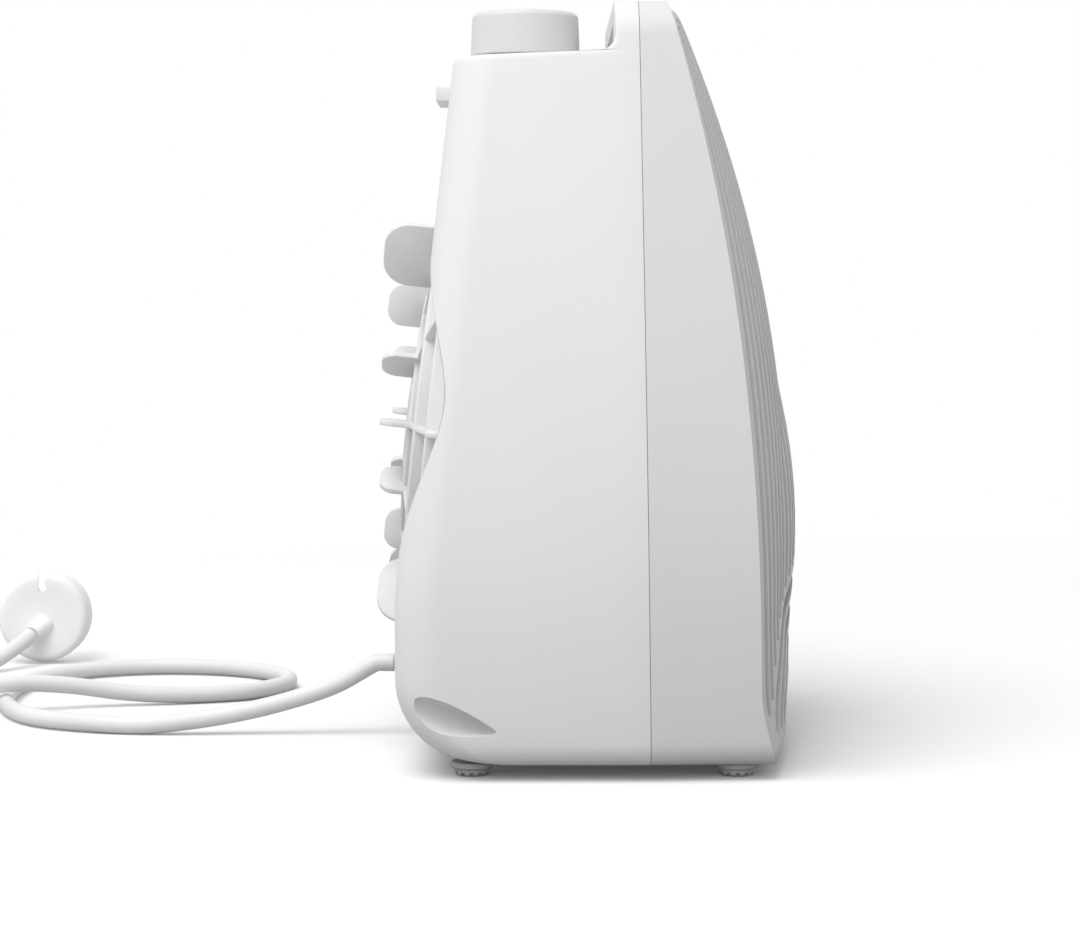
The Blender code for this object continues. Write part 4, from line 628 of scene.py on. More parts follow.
@dataclass
class MainsCord:
    """The cord: out of the rear inlet, in one loose loop on the floor, a flat coil, and its round plug."""

    palette: Palette
    diameter: float = 6.5 * MM
    spacing: float = 4.0 * MM
    coil_centre: Flat = (0.095, 0.277)
    coil_radius: float = 0.041
    coil_pitch: float = 0.0071
    layer_turns: float = 1.5
    coil_steps: int = 40
    plug_place: Spot = (0.183, 0.2128, 0.020)
    plug_radius: float = 0.0193
    plug_length: float = 0.014
    sleeve: float = 0.006
    notch: float = 2.6 * MM
    notch_depth: float = 7.8 * MM
    notch_spread: float = 3.2
    pin_place: float = 9.5 * MM

    def run(self) -> list[Vector]:
        """The way from the inlet to the coil, before it is smoothed.

        Returns:
            Its own points.
        """
        r = self.diameter / 2
        points = [(0, .0527, .026), (0, .0589, .026), (0, .077, .0165), (0, .108, .0078), (0, .141, r),
                  (.005, .166, r), (.019, .188, r), (.046, .202, r), (.080, .207, r), (.112, .203, r),
                  (.136, .186, r), (.147, .158, r), (.142, .128, r), (.124, .106, r), (.101, .101, r),
                  (.080, .113, r), (.070, .137, r), (.065, .160, .0050), (.058, .181, .0088),
                  (.049, .203, .0108), (.043, .224, .0078), (.045, .244, .0042), (.054, .2627, r),
                  (.054, .2702, r)]
        return [Vector(p) for p in points]

    def lead(self) -> list[Vector]:
        """The way from the coil to the plug, before it is smoothed.

        Returns:
            Its own points.
        """
        entry, aim = self.entry()
        points = [(.136, .2702, .01035), (.136, .26205, .01035), (.1383, .2490, .0064), (.1430, .2380, .0034),
                  (.1520, .2295, .0042), (.1600, .2240, .0074)]
        return [Vector(p) for p in points] + [entry - aim * .0138, entry - aim * .0073]

    def entry(self) -> tuple[Vector, Vector]:
        """Where the cord enters the plug, and the direction that it goes in."""
        x, y, _ = self.plug_place
        return Vector((x - self.plug_length / 2, y + 0.0006, 0.016)), Vector((0.80, -0.45, 0.40)).normalized()

    def smooth(self, knots: list[Vector]) -> list[Vector]:
        """Even points on a smooth curve through the knots, with both end pieces straight.

        Args:
            knots: the route's own points.

        Returns:
            The points.
        """
        fine = []
        for a, b, c, d in zip(knots, knots[1:], knots[2:], knots[3:]):
            fine += [curve_point(a, b, c, d, i / 16) for i in range(16)]
        fine.append(knots[-2])
        length = route_length(fine)
        count = max(round(length / self.spacing), 2)
        step, travelled, route = length / count, 0.0, [fine[0]]
        for p, q in zip(fine, fine[1:]):
            span = (q - p).length
            while len(route) < count and travelled + span >= step * len(route):
                route.append(p.lerp(q, (step * len(route) - travelled) / span))
            travelled += span
        return [knots[0]] + route + [fine[-1], knots[-1]]

    def coil(self) -> list[Vector]:
        """The coil: spirals in on the floor, climbs a layer where it turns back, and out again on top.

        Returns:
            Its points, evenly turned.
        """
        turns = 2 * self.layer_turns + 0.5
        turning = self.layer_turns + 0.25
        steps = round(turns * self.coil_steps)
        route = []
        for i in range(steps + 1):
            turn = turns * i / steps
            drawn_in = turn if turn < turning else 2 * turning - turn
            climb = min(max((turn - self.layer_turns) / 0.5, 0.0), 1.0)
            angle = math.pi - math.tau * turn
            radius = self.coil_radius - self.coil_pitch * drawn_in
            height = self.diameter / 2 + self.coil_pitch * climb
            route.append(Vector((self.coil_centre[0] + radius * math.cos(angle),
                                 self.coil_centre[1] + radius * math.sin(angle), height)))
        return route

    def build(self) -> None:
        points = [p + SHIFT for p in self.smooth(self.run()) + self.coil() + self.smooth(self.lead())]
        data = bpy.data.curves.new("mains_cord", "CURVE")
        data.dimensions, data.use_fill_caps = "3D", True
        data.bevel_depth, data.bevel_resolution = self.diameter / 2, 5
        line = data.splines.new("POLY")
        line.points.add(len(points) - 1)
        for spot, p in zip(line.points, points):
            spot.co = (*p, 1)
        line.use_smooth = True
        cord = bpy.data.objects.new("mains_cord", data)
        bpy.context.scene.collection.objects.link(cord)
        finish_piece(cord, self.palette.cord, "cord_run", "cord_coil", "cord_lead", slot="cord_plastic")
        pieces = self.plug()
        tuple(points[0])
        route_length(points)

    def plug(self) -> list[Piece]:
        """The round plug with its finger notch and tapered sleeve, and its two pins.

        Returns:
            Plug and pins.
        """
        x, y, z = Vector(self.plug_place) + SHIFT
        across = Matrix.Rotation(math.pi / 2, 4, "Y")
        low, high, r = -self.plug_length / 2, self.plug_length / 2, self.plug_radius
        outline = [(0, low + 0.5 * MM), (0.5 * r, low + 0.4 * MM), (0.66 * r, low)]
        outline += quarter((r - 3 * MM, low + 3 * MM), 3 * MM, -90, 0, 8) + [(r, high - 1.6 * MM)]
        outline += quarter((r - 1 * MM, high - 1 * MM), 1 * MM, 0, 90, 4) + [(0, high)]
        body = shown("plug", move(revolve(outline, 72), Matrix.Translation((x, y, z)) @ across))
        combine(body, Joining.UNION, self.sleeve_mesh())
        half, length = self.notch / 2, self.plug_length + 2 * MM
        foot = z + r - self.notch_depth + half
        notch = box_mesh((x - length / 2, y - half, foot), (x + length / 2, y + half, z + 2 * r))
        for v in notch.verts:
            if v.co.x > x:
                v.co.y = y + self.notch_spread * (v.co.y - y)
        eye = bmesh.new()
        bmesh.ops.create_cone(eye, cap_ends=True, segments=40, radius1=1.25 * half, radius2=3.4 * half,
                              depth=length)
        combine(body, Joining.DIFFERENCE, notch, move(eye, Matrix.Translation((x, y, foot)) @ across))
        crease(body)
        finish_piece(body, self.palette.plug, "plug_body", slot="cord_plastic")
        return [body] + [self.pin(name, Matrix.Translation((x + high, y + side * self.pin_place, z)) @ across)
                         for name, side in (("plug_pin_left", -1), ("plug_pin_right", 1))]

    def sleeve_mesh(self) -> BMesh:
        """The short tapered cord sleeve on the plug's back.

        Returns:
            The mesh, in its place.
        """
        entry, aim = self.entry()
        outline = [(0, -self.sleeve), (3.3 * MM, -self.sleeve), (3.5 * MM, 0.3 * MM - self.sleeve)]
        outline += [(3.65 * MM, -2.5 * MM), (3.85 * MM, -0.8 * MM), (4.3 * MM, 0.6 * MM), (4.6 * MM, 3 * MM),
                    (0, 3 * MM)]
        turn = aim.to_track_quat("Z", "Y").to_matrix().to_4x4()
        return move(revolve(outline, 40), Matrix.Translation(entry + SHIFT) @ turn)

    def pin(self, name: str, place: Matrix) -> Piece:
        """One contact pin, with a sleeve step and a rounded tip.

        Args:
            name: node that it replaces.
            place: where it starts, with Z along it.

        Returns:
            The pin.
        """
        outline = [(0, 0.3 * MM), (2.4 * MM, 0.3 * MM), (2.4 * MM, 9 * MM), (2.3 * MM, 9.2 * MM),
                   (2.4 * MM, 9.4 * MM)]
        outline += quarter((0.9 * MM, 17.5 * MM), 1.5 * MM, 0, 90, 6) + [(0, 19.3 * MM)]
        piece = shown(name + "_polished", move(revolve(outline, 32), place))
        return finish_piece(piece, self.palette.pin, name, slot="steel")


# -------------------------------------------------------------------- casing


def round_over(distance: float, radius: float) -> float:
    """How far a rounded edge draws in.

    Args:
        distance: how far from where the rounding starts.
        radius: the edge's radius.

    Returns:
        The distance drawn in, 0 past the rounding.
    """
    if distance >= radius:
        return 0.0
    rest = radius - max(distance, 0.0)
    return radius - math.sqrt(max(radius * radius - rest * rest, 0.0))


@dataclass
class CasingForm:
    """The casing's sizes and the curves of its sides, back, front edge and parting line."""

    foot: float = 4.5 * MM
    deck: float = 239.6 * MM
    top: float = 257.0 * MM
    half: float = 96.0 * MM
    deck_half: float = 72.0 * MM
    widest: float = 60.0 * MM
    waist_power: float = 1.6
    base_draw: float = 2.0 * MM
    wall: float = 2.2 * MM
    front_reach: float = 72.6 * MM
    front_lean: float = 25.4 * MM
    front_foot: float = 15.0 * MM
    front_power: float = 2.35
    rear_depth: float = 48.0 * MM
    rear_tilt: float = math.radians(6.1)
    corner: float = 15.0 * MM
    foot_radius: float = 28.0 * MM
    base_edge: float = 7.0 * MM
    shoulder: float = 12.0 * MM
    deck_edge: float = 2.0 * MM
    deck_slope: float = math.radians(2.0)
    handle_rear: float = 24.8 * MM
    fillet: float = 5.0 * MM
    split: float = 36.5 * MM
    split_tilt: float = math.radians(0.85)
    shell_gap: float = 0.14 * MM
    draft: float = math.tan(math.radians(3.5))
    rim_band: float = 3.2 * MM
    apron: float = 5.6 * MM
    apron_height: float = 29.0 * MM
    apron_power: float = 1.5
    bar_corner: float = 1.5 * MM
    slope_start: float = 0.75
    panel_seat: float = 3.5 * MM
    seat_width: float = 2.4 * MM

    def taper(self, z: float) -> float:
        """Half the width, before its edges are rounded.

        Args:
            z: the height.

        Returns:
            Half the width there.
        """
        rise = max(z - self.widest, 0.0) / (self.deck - self.widest)
        drop = max(self.widest - z, 0.0) / self.widest
        return self.half - (self.half - self.deck_half) * rise**self.waist_power - self.base_draw * drop**2

    def half_width(self, z: float, inset: float = 0.0) -> float:
        """Half the width at a height, with the rounded edges and the inset taken off."""
        width = self.taper(z) - inset - round_over(z - self.foot - inset, self.base_edge - inset)
        return width - round_over(self.top - inset - z, self.shoulder - inset)

    def front_edge(self, z: float) -> float:
        """Y of the front side edge at a height."""
        rise = max(z - self.front_foot, 0.0) / (self.deck - self.front_foot)
        return self.front_lean * rise**self.front_power - self.front_reach - self.flare(z)

    def flare(self, z: float) -> float:
        """How far the front side edge swings forward above the base, at a height."""
        return self.apron * (max(self.apron_height - z, 0.0) / (self.apron_height - self.foot)) ** self.apron_power

    def rear_wall(self, z: float, inset: float = 0.0) -> float:
        """Y of the back at a height."""
        y = self.rear_depth - max(z - self.widest, 0.0) * math.tan(self.rear_tilt)
        return y - inset - round_over(z - self.foot - inset, self.foot_radius - inset)

    def section(self, z: float, front: float, rear: float, inset: float, edge: float = 0.0,
                corner: float = 15.0 * MM) -> list[Spot]:
        """The casing's outline at a height.

        Args:
            z: the height.
            front: Y of its front.
            rear: Y of its back.
            inset: wall taken off.
            edge: how far a rounded deck edge has drawn the sides in.
            corner: radius of the rear corners.

        Returns:
            The outline's points.
        """
        width = self.half_width(z, inset)
        near = width - edge
        side = min(-self.handle_rear - inset, rear - self.bar_corner - corner)
        outline = [(-width, front), (width, front), (width, side)]
        outline += quarter((near - corner, rear - corner), corner, 0, 90, 12)
        outline += quarter((corner - near, rear - corner), corner, 90, 180, 12)
        outline.append((-width, side))
        lean = min(max((z / self.deck - self.slope_start) / (1 - self.slope_start), 0.0), 1.0)
        drops = [math.tan(self.deck_slope) * lean * max(y + self.handle_rear, 0.0) for _, y in outline]
        return [(x, y, z - drop) for (x, y), drop in zip(outline, drops)]

    def solid(self, name: str, inset: float = 0.0, front: float | None = None, fine: int = 3) -> Piece:
        """The casing's whole form, or its hollow.

        Args:
            name: the object's name.
            inset: wall taken off all round.
            front: Y of a flat front, or None for the curved front edge.
            fine: steps of each curve, as a factor.

        Returns:
            The object.
        """
        def ahead(z: float) -> float:
            """Y of the front at a height."""
            return self.front_edge(z) if front is None else front

        base, deck, top = self.foot + inset, self.deck - inset, self.top - inset
        foot = self.foot_radius - inset
        rise = [base + foot * (1 - math.cos(math.radians(90 * i / (5 * fine)))) for i in range(5 * fine + 1)]
        low, high = rise[-1], deck - self.deck_edge
        rise += [low + (high - low) * i / (8 * fine) for i in range(1, 8 * fine)]
        sections = [self.section(z, ahead(z), self.rear_wall(z, inset), inset) for z in rise]
        for i in range(2 * fine + 1):
            angle = math.pi / 2 * i / (2 * fine)
            z = deck - self.deck_edge * (1 - math.sin(angle))
            edge = self.deck_edge * (1 - math.cos(angle))
            sections.append(self.section(z, ahead(z), self.rear_wall(z, inset) - edge, inset, edge,
                                         self.corner - edge))
        for i in range(1, 3 * fine + 1):
            angle = math.pi / 2 * i / (3 * fine)
            z = deck + self.fillet * (1 - math.cos(angle))
            flare = self.fillet * (1 - math.sin(angle))
            sections.append(self.section(z, ahead(z), flare - self.handle_rear - inset, inset, 0.0, self.bar_corner))
        round_top = self.shoulder - inset
        for i in range(4 * fine):
            z = top - round_top * (1 - math.sin(math.pi / 2 * i / (4 * fine)))
            sections.append(self.section(z, ahead(z), -self.handle_rear - inset, inset, 0.0, self.bar_corner))
        return loft(name, sections)

    def levels(self, inset: float, low: tuple[int, ...], steps: int, high: tuple[int, ...]) -> list[float]:
        """Heights up the front, close together where its corners are round.

        Args:
            inset: distance from the casing's outside.
            low: angles on the lower rounding, in degrees.
            steps: pieces between the roundings.
            high: angles on the upper rounding.

        Returns:
            The heights.
        """
        base, top = self.foot + inset, self.top - inset
        edge, shoulder = self.base_edge - inset, self.shoulder - inset
        rise = [base + edge * (1 - math.cos(math.radians(a))) for a in low]
        first, last = rise[-1], top - shoulder
        rise += [first + (last - first) * i / steps for i in range(1, steps)]
        return rise + [top - shoulder * (1 - math.sin(math.radians(a))) for a in high]

    def settle(self, piece: Piece, angle: float) -> None:
        """Draws a piece's sides in towards the front, from just behind the parting line, and puts it in its place.

        Args:
            piece: the piece, in the casing's own frame.
            angle: where its creases start, in degrees.
        """
        start, lean = self.rim_band - self.split, math.tan(self.split_tilt)
        bm = bmesh.new()
        bm.from_mesh(piece.data)
        bmesh.ops.bisect_plane(bm, geom=bm.verts[:] + bm.edges[:] + bm.faces[:], plane_co=(0, start, 0),
                               plane_no=Vector((0, 1, -lean)).normalized())
        for v in bm.verts:
            ahead = max(start + lean * v.co.z - v.co.y, 0.0)
            v.co.x *= 1 - (self.draft * ahead + self.draft * min(ahead, self.rim_band)) / self.half
        bm.to_mesh(piece.data)
        bm.free()
        piece.data.transform(Matrix.Translation(SHIFT))
        crease(piece, angle)

    def parted(self, piece: Piece, ahead: bool) -> None:
        """Keeps what lies ahead of the parting line, or behind it.

        Args:
            piece: the object that is cut.
            ahead: True for the front part.
        """
        shift = (-1 if ahead else 1) * self.shell_gap / 2
        normal = Vector((0, 1, -math.tan(self.split_tilt))).normalized()
        bm = bmesh.new()
        bm.from_mesh(piece.data)
        found = bmesh.ops.bisect_plane(bm, geom=bm.verts[:] + bm.edges[:] + bm.faces[:],
                                       plane_co=(0, shift - self.split, 0), plane_no=normal,
                                       clear_outer=ahead, clear_inner=not ahead)["geom_cut"]
        rim = [e for e in found if isinstance(e, bmesh.types.BMEdge)]
        bmesh.ops.contextual_create(bm, geom=rim)
        bmesh.ops.recalc_face_normals(bm, faces=bm.faces)
        bm.to_mesh(piece.data)
        bm.free()


@dataclass
class RearShell:
    """Back shell: deck, handle bar with its finger recess, round inlet well, side hollows and a tab."""

    palette: Palette
    form: CasingForm
    inlet_height: float = 114.0 * MM
    inlet_radius: float = 91.2 * MM
    inlet_sink: float = 12.0 * MM
    mouth: float = 64.0 * MM
    pad_half: float = 11.0 * MM
    pad_top: float = 33.0 * MM
    lens: Spot = (13.0 * MM, 14.6 * MM, 6.4 * MM)
    lens_place: Flat = (28.0 * MM, 21.6 * MM)
    lens_slant: float = math.radians(-20)
    grip_half: Flat = (46.0 * MM, 7.55 * MM)
    grip_y: float = -21.95 * MM
    grip_corner: float = 6.0 * MM
    grip_levels: Flat = (226.0 * MM, 249.5 * MM)
    tab_half: float = 18.0 * MM
    tab_reach: float = 6.4 * MM
    tab_levels: Flat = (226.2 * MM, 231.4 * MM)

    def inlet_place(self) -> Matrix:
        """Frame of the inlet: Z out of the back, Y up it."""
        centre = Vector((0, self.form.rear_wall(self.inlet_height), self.inlet_height))
        return Matrix.Translation(centre) @ Matrix.Rotation(-(math.pi / 2 - self.form.rear_tilt), 4, "X")

    def drum(self, radius: float, low: float, high: float, soften: float = 0.0) -> BMesh:
        """A cylinder in the inlet's frame, its inner edge rounded if asked."""
        rim = quarter((radius - soften, low + soften), soften, -90, 0, 5) if soften else [(radius, low)]
        return move(revolve([(0, low)] + rim + [(radius, high), (0, high)], 160), self.inlet_place())

    def pad(self, grow: float = 0.0, soften: float = 0.0) -> BMesh:
        """The block round the cord's exit, which the inlet well and the grille's frame leave out."""
        half = self.pad_half + grow
        return box_mesh((-half, 0.0, -20 * MM), (half, 150 * MM, self.pad_top + grow), soften)

    def scoop(self, side: int, grow: float = 0.0) -> BMesh:
        """The slanting drop-shaped hollow low on one side.

        Args:
            side: -1 or 1.
            grow: wall added round it.

        Returns:
            The cutter.
        """
        bm = bmesh.new()
        bmesh.ops.create_uvsphere(bm, u_segments=96, v_segments=64, radius=1.0)
        depth, reach, tall = self.lens
        for v in bm.verts:  # a ball, narrower to one end and flatter above
            x, y, z = v.co
            high = (0.5 if z > 0 else 1.0) * tall * (1.0 + 0.5 * y) + grow
            deep = depth * (0.72 + 0.28 * z) * (1.0 - 0.1 * y)
            v.co = (x * (deep + grow), y * (reach + grow), z * high)
        y, z = self.lens_place
        place = Matrix.Translation((side * self.form.half_width(z), y, z))
        return move(bm, place @ Matrix.Rotation(-self.lens_slant, 4, "X"))

    def grip(self, grow: float = 0.0) -> BMesh:
        """The finger recess behind the handle bar, or its wall's outside.

        Args:
            grow: wall added round it.

        Returns:
            The cutter.
        """
        half, radius = [size + grow for size in self.grip_half], self.grip_corner + grow
        low, high = self.grip_levels[0] - grow, self.grip_levels[1] + grow
        outline = []
        for turn, (sx, sy) in enumerate(((1, 1), (-1, 1), (-1, -1), (1, -1))):
            corner = (sx * (half[0] - radius), self.grip_y + sy * (half[1] - radius))
            outline += quarter(corner, radius, 90 * turn, 90 * turn + 90, 10)
        return extruded(bmesh.new(), [(x, y, low) for x, y in outline], (0, 0, high - low))

    def build(self) -> None:
        """Makes the shell: its outer form less the hollows, and then less the space inside."""
        form, sink, wall = self.form, self.inlet_sink, self.form.wall
        shell = form.solid("rear_shell_moulded")
        form.parted(shell, False)
        well = shown("well", self.drum(self.inlet_radius, -sink, 60 * MM, 1.2 * MM))
        combine(well, Joining.DIFFERENCE, self.pad(0.0, 1.2 * MM))
        combine(shell, Joining.DIFFERENCE, self.scoop(-1), self.scoop(1), self.grip(), well)
        hollow = form.solid("hollow", wall, -0.1, 1)
        combine(hollow, Joining.DIFFERENCE, self.grip(wall), self.scoop(-1, wall), self.scoop(1, wall),
                self.drum(self.inlet_radius + wall, -sink - wall, 60 * MM))
        holes = [post(4.3 * MM, 230 * MM, 250 * MM, (side * SPINDLE_X, SPINDLE_Y), 48) for side in (-1, 1)]
        combine(shell, Joining.DIFFERENCE, hollow, self.drum(self.mouth, -sink - 20 * MM, 10 * MM), *holes)
        low, high = self.tab_levels
        y = form.rear_wall((low + high) / 2)
        tab = box_mesh((-self.tab_half, y - 1.5 * MM, low), (self.tab_half, y + self.tab_reach, high), 0.5 * MM)
        combine(shell, Joining.UNION, tab)
        form.settle(shell, 26)
        finish_piece(shell, self.palette.casing, "rear_shell")


@dataclass
class FrontShell:
    """Front shell: an open frame whose ledge the ribbed panel seats on."""

    palette: Palette
    form: CasingForm

    def hollow(self, inset: float, back: float | None = None) -> Piece:
        """Space inside the frame, from in front of the casing to a depth.

        Args:
            inset: wall round it.
            back: Y of its back, or None for the ledge behind the panel.

        Returns:
            The cutter.
        """
        form, sections = self.form, []
        for z in form.levels(inset, (6, 20, 34, 48, 62, 76, 90), 24, (0, 14, 28, 42, 56, 70, 84)):
            width = form.half_width(z, inset)
            y = back if back is not None else form.front_edge(z) + form.panel_seat
            sections.append([(-width, -0.11, z), (width, -0.11, z), (width, y, z), (-width, y, z)])
        return loft("space", sections)

    def build(self) -> None:
        """Makes the shell."""
        form = self.form
        shell = form.solid("front_shell_moulded")
        form.parted(shell, True)
        combine(shell, Joining.DIFFERENCE, self.hollow(form.wall), self.hollow(form.wall + form.seat_width, 0.0))
        form.settle(shell, 26)
        finish_piece(shell, self.palette.front, "front_shell")


@dataclass
class InletGrille:
    """Round domed grille: rings, spokes, a hub and the tongues that keep a wall away."""

    palette: Palette
    shell: RearShell
    gap: float = 0.3 * MM
    hub_rise: float = 5.2 * MM
    rim_sink: float = 4.4 * MM
    rings: tuple[float, ...] = (26.5 * MM, 43.5 * MM, 60.5 * MM)
    rim: float = 80.0 * MM
    wall: float = 2.0 * MM
    depth: float = 6.0 * MM
    hub: float = 9.0 * MM
    dome_power: float = 2.6
    spokes: int = 12
    spoke_width: float = 1.8 * MM
    spoke_depth: float = 4.5 * MM
    tip_plane: float = 55.8 * MM
    short: float = 0.8 * MM
    slope: float = 0.022
    inner: Flat = (32.6 * MM, 47.4 * MM)
    outer: Flat = (55.0 * MM, 79.0 * MM)

    def dome(self, radius: float) -> float:
        """Height of the domed face over the back."""
        return self.hub_rise - (self.hub_rise + self.rim_sink) * (radius / self.rim) ** self.dome_power

    def plate(self, outline: Outline, width: float, soften: float) -> BMesh:
        """A flat plate in (radius, height), a width thick, with eased edges.

        Args:
            outline: its corners.
            width: its thickness.
            soften: radius of the edges.

        Returns:
            The mesh.
        """
        bm = extruded(bmesh.new(), [(r, -width / 2, z) for r, z in outline], (0, width, 0))
        return rounded(bm, [e for e in bm.edges if abs(e.verts[0].co.y - e.verts[1].co.y) < 1e-7], soften)

    def tongue(self, span: Flat, angle: float) -> Outline:
        """Outline of a tongue whose tip lies on one upright plane behind the heater.

        Args:
            span: inner and outer radius.
            angle: the spoke's angle in degrees.

        Returns:
            The outline.
        """
        low, high = span
        tilt = self.shell.form.rear_tilt
        rise = math.sin(math.radians(angle))
        lean = (math.sin(tilt) - self.slope) * (low + high) / 2 * rise + self.short
        tip = (self.tip_plane - self.shell.form.rear_wall(self.shell.inlet_height) - lean) / math.cos(tilt)
        radius = 0.74 * (high - low) / 2
        foot = self.dome(high) - self.depth / 2
        outline = [(low, foot), (high, foot)]
        outline += quarter((high - radius, tip - radius), radius, 0, 90, 10)
        return outline + quarter((low + radius, tip - radius), radius, 90, 180, 10)

    def seat(self) -> Piece:
        """The grille's seat in the well and its upright rim, notched for the cord's block.

        Returns:
            The piece.
        """
        floor, sink = -self.shell.inlet_sink + self.gap, -self.rim_sink
        lip, reach, inner = floor + 2.2 * MM, self.shell.inlet_radius - self.gap, self.rim - self.wall
        profile = [(inner, floor), (reach, floor), (reach, lip), (self.rim, lip)]
        profile += [(self.rim, sink - 0.7 * MM), (self.rim - 0.6 * MM, sink), (inner + 0.5 * MM, sink),
                    (inner, sink - 0.5 * MM)]
        seat = shown("seat", revolve(profile, 160, True))
        seat.data.transform(self.shell.inlet_place())
        combine(seat, Joining.DIFFERENCE, self.shell.pad(self.gap))
        return seat

    def bars(self) -> Iterator[tuple[BMesh, float]]:
        """Every bar over the seat: the rings, the hub, the spokes and their tongues.

        Returns:
            Each bar's mesh, and the angle in degrees that it is turned by.
        """
        for radius in self.rings:
            top, low, high = self.dome(radius), radius - self.wall / 2, radius + self.wall / 2
            profile = [(low, top - self.depth), (high, top - self.depth), (high, top - 0.9 * MM),
                       (high - 0.6 * MM, top - 0.25 * MM), (low + 0.5 * MM, top - 0.1 * MM), (low, top - 0.6 * MM)]
            yield revolve(profile, 128, True), 0.0
        edge = quarter((self.hub - 1.5 * MM, self.hub_rise - 1.5 * MM), 1.5 * MM, 0, 90, 6)
        yield revolve([(0, -self.depth / 2), (self.hub, -self.depth / 2)] + edge + [(0, self.hub_rise + 0.4 * MM)],
                      64), 0.0
        start, end, reach = 0.5 * self.hub, self.rim - self.wall / 2, self.shell.inlet_radius - 1.1 * MM
        stations = [start + (end - start) * k / 16 for k in range(17)]
        for i in range(self.spokes):
            angle = 360 * i / self.spokes
            outline = [(r, self.dome(r) - 0.5 * MM) for r in stations]
            if abs(angle - 270) > 1:
                outline += [(reach, -self.rim_sink - 0.5 * MM), (reach, -self.shell.inlet_sink + 2.2 * MM)]
            outline += [(r, self.dome(r) - 0.5 * MM - self.spoke_depth) for r in reversed(stations)]
            yield self.plate(outline, self.spoke_width, 0.3 * MM), angle
            span = self.outer if i % 6 in (2, 4) else self.inner
            yield self.plate(self.tongue(span, angle), self.wall, 0.35 * MM), angle

    def build(self) -> None:
        """Makes the grille as one mesh of overlapping closed bars."""
        place, whole = self.shell.inlet_place(), bmesh.new()
        take(whole, self.seat())
        for bar, angle in self.bars():
            take(whole, shown("bar", move(bar, place @ Matrix.Rotation(math.radians(angle), 4, "Z"))))
        grille = shown("inlet_grille_moulded", whole, 30)
        grille.data.transform(Matrix.Translation(SHIFT))
        finish_piece(grille, self.palette.casing, "inlet_grille")


